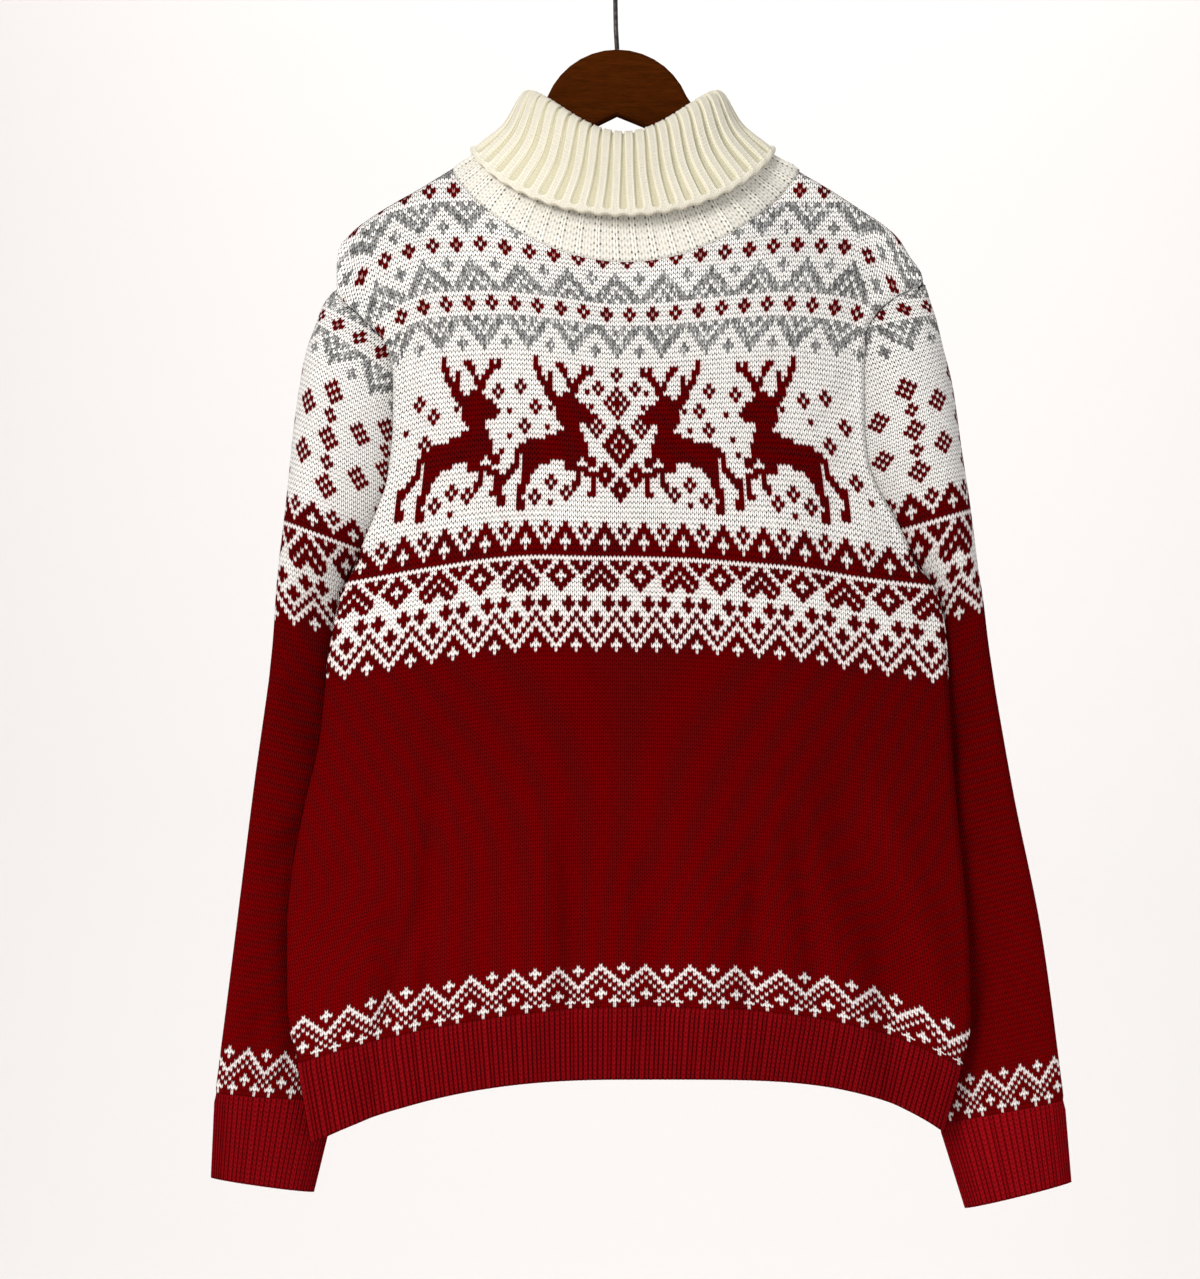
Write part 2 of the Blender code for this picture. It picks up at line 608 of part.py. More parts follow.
def outline_solid(name, points, thickness, bevel, material):
    """A flat outline in the XZ plane, given thickness and rounded edges."""
    curve = bpy.data.curves.new(name, "CURVE")
    curve.dimensions = "2D"
    curve.fill_mode = "BOTH"
    curve.extrude = (thickness / 2 - bevel) * MM
    curve.bevel_depth = bevel * MM
    curve.bevel_resolution = 2
    curve.offset = -bevel * MM
    spline = curve.splines.new("POLY")
    spline.points.add(len(points) - 1)
    for point, (x, z) in zip(spline.points, points):
        point.co = (x * MM, z * MM, 0, 1)
    spline.use_cyclic_u = True
    holder = bpy.data.objects.new(name + "_outline", curve)
    holder.rotation_euler = (math.pi / 2, 0, 0)
    link("christmas_sweater", holder)
    bpy.context.view_layer.update()
    graph = bpy.context.evaluated_depsgraph_get()
    mesh = bpy.data.meshes.new_from_object(holder.evaluated_get(graph))
    mesh.transform(holder.matrix_world)
    bpy.data.objects.remove(holder)
    solid = bpy.data.objects.new(name, mesh)
    weld = solid.modifiers.new("weld caps", "WELD")
    weld.merge_threshold = 0.00001
    mesh.materials.clear()
    mesh.materials.append(material)
    link("christmas_sweater", solid)


def arm_top(edge):
    """The top of a hanger's arm, just under the shoulder seam, from the neck out to its round tip."""
    x = np.array(edge["shoulder"]["x"][:6], float)
    z = np.array(edge["shoulder"]["z"][:6], float)
    along = unit(np.stack([np.gradient(x), np.gradient(z)], axis=-1))
    sign = 1 if x[0] > 0 else -1
    return [(a + HANGER_BELOW_CLOTH * t[1] * sign, b - HANGER_BELOW_CLOTH * t[0] * sign) for a, b, t in zip(x, z, along)]


def make_hanger(material):
    centre_z = DOME_TOP - DOME_RADIUS
    dome = [
        (DOME_RADIUS * math.sin(a), centre_z + DOME_RADIUS * math.cos(a))
        for a in np.radians(np.linspace(-68, 68, 15))
    ]
    right, left = arm_top(RIGHT_EDGE), arm_top(LEFT_EDGE)
    neck_right, neck_left = [(-88, -152), (-69, -138), (-55, -123)], [(55, -123), (74, -138), (98, -152)]
    lower_right = [(-181, -231), (-172, -234), (-110, -190), (-40, -146), (-13, -132)]
    lower_left = [(17, -132.5), (44, -146), (122, -190), (188, -232), (197, -228)]
    notch = [(0, NOTCH_TOP)]
    points = dome + neck_left + left + lower_left[::-1] + notch + lower_right[::-1] + right[::-1] + neck_right
    outline_solid("hanger", points, HANGER_THICK, HANGER_BEVEL, material)


def make_hook(material):
    """A straight stem and a round hook in one wire, its end turned back under the left side."""
    low = DOME_TOP + SEAM
    centre = WIRE / 2 - HOOK_RADIUS
    stem = [(0.0, low), (-0.8, low + 14), (-1.2, centre - HOOK_RADIUS - 7)]
    turns = np.linspace(math.radians(-72), HOOK_END, 22)
    hook = [(HOOK_RADIUS * math.cos(a), centre + HOOK_RADIUS * math.sin(a)) for a in turns]
    points = stem + [(1.4, centre - HOOK_RADIUS - 1.6)] + hook
    curve = bpy.data.curves.new("hook", "CURVE")
    curve.dimensions = "3D"
    curve.bevel_depth = WIRE / 2 * MM
    curve.bevel_resolution = 2
    curve.use_fill_caps = True
    spline = curve.splines.new("POLY")
    spline.points.add(len(points) - 1)
    for point, (x, z) in zip(spline.points, points):
        point.co = (x * MM, 0, z * MM, 1)
    curve.materials.append(material)
    link("christmas_sweater", bpy.data.objects.new("hook", curve))


def main():
    for obj in list(bpy.data.objects):
        bpy.data.objects.remove(obj)
    yoke = plain_material("yoke wool", (0.80, 0.74, 0.70), 0.95)
    red = plain_material("red wool", (0.32, 0.008, 0.018), 0.95)
    cream = plain_material("cream wool", (0.84, 0.81, 0.64), 0.95)
    wood = plain_material("stained wood", (0.06, 0.012, 0.004), 0.35)
    metal = plain_material("black metal", (0.02, 0.02, 0.022), 0.35, 1.0)
    panels = {face: make_panel(face, yoke) for face in ("front", "back")}
    for face, panel in panels.items():
        make_hem(face, panel, red)
    for side in ("left", "right"):
        make_sleeve(side, panels, red)
        make_cuff(side, red)
    make_collar(panels, cream)
    make_hanger(wood)
    make_hook(metal)


main()
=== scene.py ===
"""Looks of the roll-neck Christmas sweater on its hanger: knitted pieces on the CAD solids' forms.

Millimetres in the tables and functions, metres in the meshes, in the CAD model's frame: the front
faces -Y and the origin is the inside top of the hook.
"""

import itertools
import math
from functools import partialmethod

import bpy
import numpy as np
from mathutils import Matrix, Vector


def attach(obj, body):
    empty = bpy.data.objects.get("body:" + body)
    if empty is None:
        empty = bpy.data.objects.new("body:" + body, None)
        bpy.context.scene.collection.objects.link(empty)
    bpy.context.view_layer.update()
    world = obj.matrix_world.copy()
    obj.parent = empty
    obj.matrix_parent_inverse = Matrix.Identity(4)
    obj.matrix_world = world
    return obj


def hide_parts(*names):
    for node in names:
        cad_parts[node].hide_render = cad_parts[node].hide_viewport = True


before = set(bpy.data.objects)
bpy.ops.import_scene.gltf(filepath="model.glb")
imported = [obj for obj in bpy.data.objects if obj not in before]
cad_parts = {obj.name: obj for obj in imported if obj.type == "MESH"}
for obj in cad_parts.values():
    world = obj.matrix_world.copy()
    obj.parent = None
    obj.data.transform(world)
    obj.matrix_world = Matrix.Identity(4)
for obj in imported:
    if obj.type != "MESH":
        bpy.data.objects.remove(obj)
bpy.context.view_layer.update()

MM = 0.001
CLOTH = 2.4  # thickness of the knitting
SEAM = 0.3  # gap between two pieces
random = np.random.default_rng(24)

# --- the garment's form, as in the CAD source ---

RIGHT_EDGE = dict(
    shoulder=dict(
        x=(-112, -135, -151, -167, -180, -187, -190, -190.4),
        z=(-161, -175, -184, -194, -204, -214, -227, -243),
    ),
    armhole=dict(
        x=(-190.4, -171, -156, -151, -151, -155, -163, -172, -176),
        z=(-243, -265, -282, -304, -332, -372, -395, -415, -426),
    ),
    side=dict(
        x=(-176, -188, -193, -198, -203, -213, -222, -225, -225, -218, -213, -208),
        z=(-426, -451, -472, -503, -549, -593, -641, -675, -726, -769, -799, -823),
    ),
)
LEFT_EDGE = dict(
    shoulder=dict(
        x=(124, 146, 169, 181, 191, 198, 205, 208),
        z=(-163, -176, -191, -199, -208, -219, -231, -239),
    ),
    armhole=dict(
        x=(208, 190, 176, 168, 166.5, 166.5, 169, 175, 186, 195, 204),
        z=(-239, -248, -260, -274, -304, -332, -360, -377, -395, -412, -430),
    ),
    side=dict(
        x=(204, 214, 220, 224, 227, 230, 234, 238, 240, 240.5, 235, 227, 222),
        z=(-430, -443, -457, -480, -535, -583, -624, -665, -699, -740, -769, -799, -817),
    ),
)
HEM_TOP = dict(middle=-726, drop=(45.5, 49), power=(1.9, 2.9))
HEM_END = dict(middle=-775, drop=(54, 50), power=(2.41, 3.9))
BACK_HEM_RISE = 1.0
DEPTH = dict(
    z=(-823, -775, -726, -600, -425, -300, -229, -183, -161),
    front=(36, 40, 46, 53, 56, 52, 46, 42, 38),
    back=(26, 29, 33, 38, 42, 43, 42, 40, 36),
)
LENS_POWER = 2.5
SHOULDER_ROLL = 9.0
SHOULDER_FADE = 70.0
ROLL_END_Z, ROLL_FADE = -330.0, 70.0
SIDE_SEAM_Z, SIDE_SEAM_FADE = -380.0, 50.0
ARMHOLE_DEPTH, ARMHOLE_POWER = 24.0, 0.75
NECK_MIDDLE = 6.0
NECK_HALF = 118.0
NECK_SIDE_Z = -162.0
NECK_DROP = dict(front=67.0, back=22.0)
NECK_POWER = dict(front=1.65, back=1.3)
COLLAR_MIDDLE = 4.0
COLLAR_RINGS = dict(  # knee, upper stand, the fold's inside, top and outside, turned down, lower edge
    half=(98, 72, 62, 65, 68.5, 79.5, 102),
    side_z=(-149.5, -128, -115, -111.5, -115, -133, -150),
    power=(1.4, 2.0, 3.0, 3.0, 3.0, 1.9, 1.4),
    front_drop=(50, 40, 33, 32, 33, 41, 49),
    back_drop=(22, 23, 26, 26, 27, 34, 41),
    front_deep=(42.5, 37, 33, 37, 41, 48, 55),
    back_deep=(43, 37, 33, 37, 41, 50, 61),
)
COLLAR_RIBS = 44
ARMPIT = 7  # its row in the tables of the sleeves
BOTH_SLEEVES = dict(
    inner_y=(0, 0, 0, 0, 0, 0, 0, 0, 10, 22, 36, 36, 33, 25),
    outer_y=(0, 2, 3, 4, 5, 6, 7, 8, 8, 9, 10, 11, 11, 10),
    bulge=(0, 2, 3, 5, 7, 9, 12, 15, 17, 17, 16, 15, 12, 10),
    turn=(0, 0, 0, 0, 0, 0, 0.1, 0.3, 0.5, 0.8, 1, 1, 1, 1),
)
RIGHT_SLEEVE = dict(
    inner_z=(-243, -265, -282, -304, -332, -372, -400, -426, -442, -460, -500, -600, -700, -797),
    inner_x=(0, 0, 0, 0, 0, 0, 0, -175.5, -181, -179, -168, -172, -184, -194),
    outer_x=(-190, -197, -200, -204, -211, -219, -223, -227, -229, -231, -234, -247, -260, -273),
    outer_z=(-243, -251, -256, -267, -287, -336, -374, -408, -424, -442, -484, -583, -687, -790),
    **BOTH_SLEEVES,
)
LEFT_SLEEVE = dict(
    inner_z=(-239, -260, -274, -304, -332, -372, -400, -430, -446, -464, -504, -604, -704, -812),
    inner_x=(0, 0, 0, 0, 0, 0, 0, 203.5, 213, 211, 197, 198, 209, 222),
    outer_x=(208, 213, 216, 221, 227, 234, 239, 243, 245, 248, 253, 269, 289, 304),
    outer_z=(-239, -254, -263, -283, -307, -354, -386, -416, -432, -449, -488, -583, -683, -795),
    **BOTH_SLEEVES,
)
EDGES = dict(right=RIGHT_EDGE, left=LEFT_EDGE)
SLEEVES = dict(right=RIGHT_SLEEVE, left=LEFT_SLEEVE)
CUFF_END = dict(
    right=dict(outer_x=-275.5, outer_z=-848, inner_x=-209, inner_z=-859, outer_y=9, inner_y=20, bulge=9),
    left=dict(outer_x=308.5, outer_z=-851, inner_x=240, inner_z=-870, outer_y=9, inner_y=20, bulge=9),
)

# Soft upright folds of the panels, in the CAD source too.
FOLDS = dict(  # x at the top, x at the end, z of both, how wide and how deep
    front=(
        (-150, -166, -640, -823, 11, 4.5),
        (172, 190, -650, -817, 12, 5.0),
        (-20, -30, -590, -760, 26, 2.5),
        (84, 88, -640, -740, 18, 2.0),
        (-128, -118, -330, -450, 16, 3.5),
        (150, 140, -330, -455, 15, 3.5),
    ),
    back=(
        (-120, -140, -600, -815, 14, 4.0),
        (128, 150, -590, -812, 15, 4.5),
        (20, 28, -560, -760, 28, 3.0),
        (-60, -74, -300, -460, 22, 2.5),
    ),
)

# Creases of the knitting itself, and ridges where the depth is negative.
CREASES = dict(  # from x, z, to x, z, how wide and how deep
    front=(
        (-122, -535, -131, -775, 9, 6.0),
        (-129, -645, -163, -755, 7, 4.6),
        (-50, -555, -48, -750, 14, -3.2),
        (-36, -590, -31, -750, 9, 5.2),
        (18, -600, 27, -765, 15, 7.0),
        (60, -600, 58, -760, 15, -3.4),
        (93, -610, 85, -745, 7, 4.4),
        (115, -580, 138, -755, 9, 6.4),
        (108, -660, 111, -750, 10, -2.5),
        (132, -540, 203, -775, 20, 12.5),
        (168, -560, 226, -740, 13, -4.5),
        (-150, -300, -112, -352, 9, 2.1),
        (166, -300, 132, -345, 8, 2.1),
        (-140, -200, -95, -232, 8, 1.6),
    ),
    back=(
        (-150, -585, -168, -805, 9, 6.0),
        (-72, -620, -60, -765, 8, 3.7),
        (32, -640, 22, -775, 10, 4.4),
        (94, -600, 112, -762, 7, 4.1),
        (148, -560, 186, -795, 14, 7.6),
        (20, -300, -34, -500, 22, 3.1),
        (118, -290, 66, -420, 13, 2.6),
        (-120, -280, -86, -380, 10, 2.2),
    ),
)
SLEEVE_CREASES = (  # the same, round the sleeve from its outer line, front positive, and up from the cuff
    (18, 150, 42, 196, 9, 3.4),
    (52, 236, 14, 286, 11, 2.9),
    (8, 330, 46, 352, 8, 2.3),
    (60, 60, 34, 122, 8, 2.6),
    (20, 14, 26, 66, 6, 2.1),
    (44, 8, 50, 44, 5, 2.0),
    (-20, 120, -52, 176, 10, 3.4),
    (-46, 250, -12, 300, 12, 3.1),
    (-30, 20, -36, 80, 7, 2.3),
    (-58, 370, -24, 420, 10, 2.3),
)


def crease_depth(u, v, creases):
    """How deep soft troughs along straight lines are, fading slowly from the start and faster at the end."""
    total = np.zeros(np.shape(u))
    for u0, v0, u1, v1, width, depth in creases:
        along, far = nearest(u, v, u0, v0, u1, v1)
        total += depth * bell(far, width) * ease(2.5 * along + 0.1) * ease(4 * (1 - along) + 0.1)
    return total


def nearest(u, v, u0, v0, u1, v1):
    """Where along a straight line its nearest point is, from 0 to 1, and how far off."""
    along = np.clip(((u - u0) * (u1 - u0) + (v - v0) * (v1 - v0)) / ((u1 - u0) ** 2 + (v1 - v0) ** 2), 0, 1)
    return along, np.hypot(u - u0 - along * (u1 - u0), v - v0 - along * (v1 - v0))


def bell(far, width):
    """1 where far is 0, fading on both sides."""
    return np.exp(-((far / width) ** 2))


def smooth(keys, values, at):
    """A smooth curve through the table's points, which never overshoots them (keys in either order)."""
    keys = np.asarray(keys, float)
    values = np.asarray(values, float)
    if keys[0] > keys[-1]:
        keys, values = keys[::-1], values[::-1]
    at = np.clip(at, keys[0], keys[-1])
    step = np.diff(keys)
    slope = np.diff(values) / step
    inner = np.where(
        slope[:-1] * slope[1:] > 0,
        2 * slope[:-1] * slope[1:] / np.where(slope[:-1] + slope[1:] == 0, 1, slope[:-1] + slope[1:]),
        0,
    )
    tangent = np.concatenate([slope[:1], inner, slope[-1:]])
    i = np.clip(np.searchsorted(keys, at, side="right") - 1, 0, len(keys) - 2)
    s = (at - keys[i]) / step[i]
    return (
        (2 * s**3 - 3 * s**2 + 1) * values[i]
        + (s**3 - 2 * s**2 + s) * step[i] * tangent[i]
        + (3 * s**2 - 2 * s**3) * values[i + 1]
        + (s**3 - s**2) * step[i] * tangent[i + 1]
    )


def ease(value):
    """From 0 to 1 with soft ends."""
    value = np.clip(value, 0, 1)
    return value * value * (3 - 2 * value)


def fade(value, start, end):
    """From 1 at the start to 0 at the end, with soft ends."""
    return ease((end - value) / (end - start))


def running(steps):
    """Running total, from 0."""
    return np.concatenate([[0], np.cumsum(steps)])


def unit(vectors):
    return vectors / np.maximum(np.linalg.norm(vectors, axis=-1, keepdims=True), 1e-9)


def edge_x(edge, z):
    """Place of the body's edge at a height, through the shoulder, the armhole and the side."""
    x_table, z_table = (sum((part[axis][1:] for part in edge.values()), edge["shoulder"][axis][:1]) for axis in "xz")
    return smooth(z_table, x_table, z)


def shoulder_distance(x, z):
    """How far a point of the front view is from the nearer shoulder seam."""
    best = np.full(np.shape(x), np.inf)
    for edge in EDGES.values():
        xs, zs = edge["shoulder"]["x"], edge["shoulder"]["z"]
        for ends in zip(xs, zs, xs[1:], zs[1:]):
            best = np.minimum(best, nearest(x, z, *ends)[1])
    return best


def fold_depth(x, z, folds):
    """How deep the upright folds are: each begins softly and ends more sharply."""
    total = np.zeros(np.shape(x))
    for x_top, x_end, z_top, z_end, width, depth in folds:
        down = (z_top - z) / (z_top - z_end)
        across = (x - x_top - (x_end - x_top) * down) / width
        total += depth * bell(across, 1) * ease(3 * down) * ease(6 * (1.02 - down))
    return total


def armhole_end(x, end):
    """Height of the armhole's top (end 0) or foot (end -1) on this side of the body."""
    return np.where(x < 0, RIGHT_EDGE["armhole"]["z"][end], LEFT_EDGE["armhole"]["z"][end])


def across_body(x, z):
    """Place across the body, from -1 at the right edge to 1 at the left one."""
    right, left = (edge_x(edge, z) for edge in EDGES.values())
    return 2 * (x - right) / (left - right) - 1


def body_y(x, z, face):
    """Distance of the panel's middle surface from the plane of the side seams."""
    lens = 1 - np.abs(np.clip(across_body(x, z), -1, 1)) ** LENS_POWER
    armhole_top, armpit = armhole_end(x, 0), armhole_end(x, -1)
    up = np.clip((z - armpit) / (armhole_top - armpit), 0, 1)
    armhole = ARMHOLE_DEPTH * np.maximum(np.sin(np.pi * up), 0) ** ARMHOLE_POWER
    below = shoulder_distance(x, z)
    roll = SHOULDER_ROLL * np.sqrt(1 - (1 - np.minimum(below / SHOULDER_ROLL, 1)) ** 2)
    roll = roll * ease((z - ROLL_END_Z) / ROLL_FADE)
    edge = (armhole**3 + roll**3) ** (1 / 3)
    middle = smooth(DEPTH["z"], DEPTH[face], z)
    seam = SEAM / 2 + CLOTH / 2 * ease((SIDE_SEAM_Z - z) / SIDE_SEAM_FADE)
    depth = seam + edge + (middle - edge) * lens * ease(below / SHOULDER_FADE)
    return depth - (fold_depth(x, z, FOLDS[face]) + crease_depth(x, z, CREASES[face])) * ease(4 * lens)


def hem_line(x, hem):
    """Height of the rib's top or end: it hangs lower at the sides, each side in its own way."""
    across = np.clip(across_body(x, hem["middle"]), -1.02, 1.02)
    drop, power = (np.where(across > 0, *hem[key][::-1]) for key in ("drop", "power"))
    return hem["middle"] - drop * np.abs(across) ** power


def neck_z(x, face):
    """Height of the neck seam over a place across the panel."""
    cosine = np.sqrt(np.maximum(1 - ((x - NECK_MIDDLE) / NECK_HALF) ** 2, 0))
    return NECK_SIDE_Z - NECK_DROP[face] * cosine ** NECK_POWER[face]


def sleeve_ring(turns, row, inner_x, inner_z, front_y, back_y):
    """One row of a sleeve: from the back of the inner line round the outer line to its front."""
    angle, turn = np.abs(turns) * math.pi / 2, row["turn"]
    share = (1 - turn) * np.cos(angle) + turn * np.cos(angle) ** 2
    x = inner_x + (row["outer_x"] - inner_x) * share
    z = inner_z + (row["outer_z"] - inner_z) * share
    inner_y = np.where(turns > 0, front_y, back_y)
    lean = (1 - turn) * np.sin(angle) + turn * np.sin(angle) ** 2
    y = row["outer_y"] + (inner_y - row["outer_y"]) * lean - np.sign(turns) * row["bulge"] * np.sin(2 * angle)
    return np.stack([x, y, z], axis=-1)


def ring_points(angle):
    """The collar's rings by angle, which is 0 in the middle of the front and a quarter turn at the left side."""
    half, side_z, power, front_drop, back_drop, front_deep, back_deep = map(np.array, COLLAR_RINGS.values())
    angle = angle[:, None]
    front, cosine = np.cos(angle) >= 0, np.abs(np.cos(angle))
    y = np.where(front, -front_deep, back_deep) * cosine
    z = side_z - np.where(front, front_drop, back_drop) * cosine**power
    return np.stack([COLLAR_MIDDLE + half * np.sin(angle), y, z], axis=-1)


# --- charts: . is white, r red, g grey and p a pale stray stitch; one line a row, from the top down ---

TEETH = """
r....r....
rr..r.r..r
.rr..r..rr
..rr...rr.
.rrrr.rrrr
rrrrrrrrrr
..........
"""
DIAMONDS = """
r..rr.rr..r..rr.rr..
rr..rrr..rrr..rrr..r
.rr..r..rr.rr..r..rr
r.rr...rr...rr...rr.
rr.rr...rr.rr...rr.r
.rr.r....rrr....r.rr
..rr......r......rr.
....................
"""
ZIGZAG = """
...r...r..
..rrr.rrr.
...r...r..
r....r....
rr..r.r..r
r..r...r..
..r..r..r.
.r..rrr..r
r..rr.rr..
..rr...rr.
.rrrr.rrrr
"""
BORDER = """
.rrrr.rrrr
..rr...rr.
.rr..r..rr
rr..r.r..r
r..r.r.r..
..r.rrr.r.
.r.rr.rr.r
r.rr...rr.
.r.rr.rr.r
r...rrr...
rr.rrrrr.r
"""
ROSETTES = """
...r.....r..
..r.r...rpr.
...r.....r..
"""
GREY_PEAKS = """
g.....g.....
gg...ggg...g
ggg...g...gg
.ggg.....ggg
g.ggg...ggg.
gg.ggg.ggg.g
.gg.ggggg.gg
"""
REINDEER = """
.........r...............
.........r.....rr.....r.r
.........rr.....rr....rrr
..........r..r...r...rr..
..........rr.r....r.rr...
...........rrr....rrr....
............rr.....rr....
............rrr..rrr.....
.............rrrrrrrr....
..............rrrrrrrrr..
.............r.rrrrrrrrr.
...............rrrrrrrrrr
...............rrrrrrrrr.
................rrrrr....
.................rrrr....
...............rrrrrrr...
............rrrrrrrrrr...
.......rrrrrrrrrrrrrrrr..
.....rrrrrrrrrrrrrrrrrr..
....rrrrrrrrrrrrrrrrrrr..
....r.rrrrrrrrrrrrrrr.rrr
....r.rrrrrrr....rrr...rr
...rr.rrrr.......rrrrrr..
..rr..rrr...........r.rrr
rrr...rr............r...r
rr....rr...........rr...r
r....rr............r....r
r....rr................rr
rr...r...................
rr...rr..................
.....rr..................
"""
FLOWER = """
.r.
r.r
.r.
"""
DOT = """
r
"""
LOZENGE = """
..r..
.r.r.
r.r.r
.r.r.
..r..
"""
HOLLOW = """
..r..
.rrr.
rr.rr
.rrr.
..r..
"""
CHECKERED = """
...r...
..r.r..
.r.r.r.
r.rrr.r
.r.r.r.
..r.r..
...r...
"""
BIG_LOZENGE = """
....r....
...rrr...
..rr.rr..
.rr.r.rr.
rr.rrr.rr
.rr.r.rr.
..rr.rr..
...rrr...
....r....
"""


def chart(text):
    """The chart's letters by row from the lowest up and by stitch."""
    return np.array([list(line) for line in text.split()])[::-1]


def tile(cells, band, low_row, middle):
    """A band of the chart right across the piece; its first column falls on the middle stitch."""
    columns = (np.arange(cells.shape[1]) - middle) % band.shape[1]
    cells[low_row : low_row + len(band)] = band[:, columns]
    return low_row + len(band)


def motif(cells, figure, low_row, centre, flip=False):
    """One figure on the white ground, its middle column on this stitch."""
    figure = chart(figure)[:, :: -1 if flip else 1]
    first = centre - figure.shape[1] // 2
    for j, i in zip(*np.nonzero(figure != ".")):
        if 0 <= first + i < cells.shape[1] and low_row + j < cells.shape[0]:
            cells[low_row + j, first + i] = figure[j, i]


def yoke_bands(cells, row, middle):
    """Grey zigzags between rows of small rosettes up to the shoulder; every other zigzag is turned over."""
    peaks, plain = chart(GREY_PEAKS), chart("............")
    for band in itertools.cycle((peaks[::-1], plain, chart(ROSETTES), plain, peaks, plain, chart(ROSETTES), plain)):
        if row + len(band) > len(cells):
            return
        row = tile(cells, band, row, middle)


RED_ROWS = 83
PANEL_ROWS, SLEEVE_ROWS = 200, 192
PANEL_HALF, SLEEVE_HALF = 92, 40  # stitches each side of the middle, before the edges cut them


def lower_bands(rows, half, border, zigzag, diamonds, teeth):
    """A piece's chart from the rib to the end of the teeth, and the row above them. The rest is white.

    The four numbers say how many stitches each band is shifted to the side.
    """
    cells = np.full((rows, 2 * half + 1), ".")
    row = tile(cells, chart(BORDER), 0, half + border)
    cells[row : row + RED_ROWS] = "r"
    row += RED_ROWS
    for band, shift in ((ZIGZAG, zigzag), (DIAMONDS, diamonds), (TEETH, teeth)):
        row = tile(cells, chart(band), row, half + shift)
    return cells, row


PANEL_BANDS = dict(border=0, zigzag=-6, diamonds=-5, teeth=-4)
DEER_LOW, DEER_ROWS = 120, 34
DEER_PLACES = ((-44, False), (-19, False), (19, True), (45, True))
DEER_FIELD = (  # figure, stitches from the middle, rows above the deer band's foot
    (CHECKERED, (0,), (21,)),
    (LOZENGE, (-6, 6), (17, 17)),
    (BIG_LOZENGE, (0,), (11,)),
    (HOLLOW, (-4, 4, 0), (7, 7, 4)),
    (FLOWER, (0, -5, 5, -32, -26, -22, -25, 32, 25, 22, 24), (29, 26, 26, 24, 25, 21, 17, 24, 25, 21, 17)),
    (FLOWER, (-18, -22, -14, 18, 22, 14, -43, -47, -39, 44, 40, 48), (6, 3, 4, 6, 3, 4, 5, 3, 4, 5, 3, 3)),
    (FLOWER, (-53, -49, -51, 50, 56, 60, 55, 60), (23, 20, 15, 23, 24, 19, 15, 9)),
    (DOT, (-8, 8, -7, 7, -29, -29, -31, -19, -18, -56, -43), (26, 26, 23, 23, 21, 16, 13, 18, 3, 19, 2)),
    (DOT, (29, 30, 31, 19, 18, 51, 63, 44), (21, 16, 13, 18, 3, 20, 7, 2)),
)


def panel_chart():
    """Colours by row from the rib up and by stitch from the right edge."""
    cells, _ = lower_bands(PANEL_ROWS, PANEL_HALF, **PANEL_BANDS)
    for centre, flip in DEER_PLACES:
        motif(cells, REINDEER, DEER_LOW + 2, PANEL_HALF + centre, flip)
    for figure, centres, rows in DEER_FIELD:
        for centre, low in zip(centres, rows):
            motif(cells, figure, DEER_LOW + low, PANEL_HALF + centre)
    yoke_bands(cells, DEER_LOW + DEER_ROWS, PANEL_HALF)
    return cells


# --- knitted sheets ---

WOOL = {  # linear colours by the chart's letters
    ".": (0.93, 0.905, 0.86),
    "r": (0.140, 0.0006, 0.0011),
    "p": (0.50, 0.24, 0.22),
    "g": (0.35, 0.345, 0.335),
}
RIB_RED = (0.275, 0.0034, 0.0062)
LAP_RED = (0.110, 0.002, 0.003)
CREAM = (0.76, 0.715, 0.588)
# painted shade: the collar's cream darkened for the bottoms of its grooves
SHADED_GROOVE = (0.66, 0.615, 0.445)
STAND = (0.86, 0.825, 0.735)
RED_TONE = dict(row=(0, 11, 60, 92, 96, 200), tone=(1.0, 1.12, 1.0, 0.90, 0.74, 0.74))
BLUSH = (0.01, 0.09, 0.08)  # what white loses next to red
UNEVEN = dict(stitch=(0.965, 1.035), leg=(0.96, 1.04), grey_leg=(0.85, 1.15))  # in brightness
GREY_TONES = dict(a=(0.52, 0.80, 1.10, 1.85), p=(0.25, 0.30, 0.27, 0.18))  # dark and pale wool spun together


def stitch_colours(cells, open_stitches):
    """Linear colours by row and stitch, with how open the stitches are as the fourth channel."""
    colours = np.ones(cells.shape + (4,))
    for mark, colour in WOOL.items():
        colours[cells == mark, :3] = colour
    rows, red = np.arange(len(cells)), cells == "r"
    colours[..., :3] *= np.where(red, np.interp(rows, *RED_TONE.values())[:, None], 1)[..., None]
    near = sum(np.roll(red, shift, axis=axis) for axis in (0, 1) for shift in (-1, 1)) > 0
    colours[..., :3] *= 1 - ((cells == ".") & near)[..., None] * np.array(BLUSH)
    colours[..., :3] *= random.uniform(*UNEVEN["stitch"], cells.shape)[..., None]
    colours[..., 3] = np.interp(rows, *open_stitches.values())[:, None]
    return np.clip(colours, 0, 1)


def red_laps(cells, k, r, corner_k, corner_r):
    """How near each leg's corners are to red stitches beside, above and below; and where the yarn is grey.

    The red yarn is thicker, so it covers the edges of the white stitches next to it.
    """
    red = np.pad(cells == "r", 1)
    row, column = np.minimum(r, len(cells) - 1) + 1, k // 2 + 1
    plain = ~red[row, column]
    beside = np.where(k % 2 == 0, red[row, column - 1], red[row, column + 1]) & plain
    outer = corner_k == (k + k % 2)[:, None]
    laps = np.zeros(corner_k.shape + (4,))
    laps[..., 0] = beside[:, None] & outer
    laps[..., 1] = (red[row + 1, column] & plain)[:, None] & (corner_r == r[:, None] + 1)
    laps[..., 2] = (red[row - 1, column] & plain)[:, None] & (corner_r == r[:, None])
    laps[..., 3] = (cells == "g")[row - 1, column - 1][:, None]
    return laps


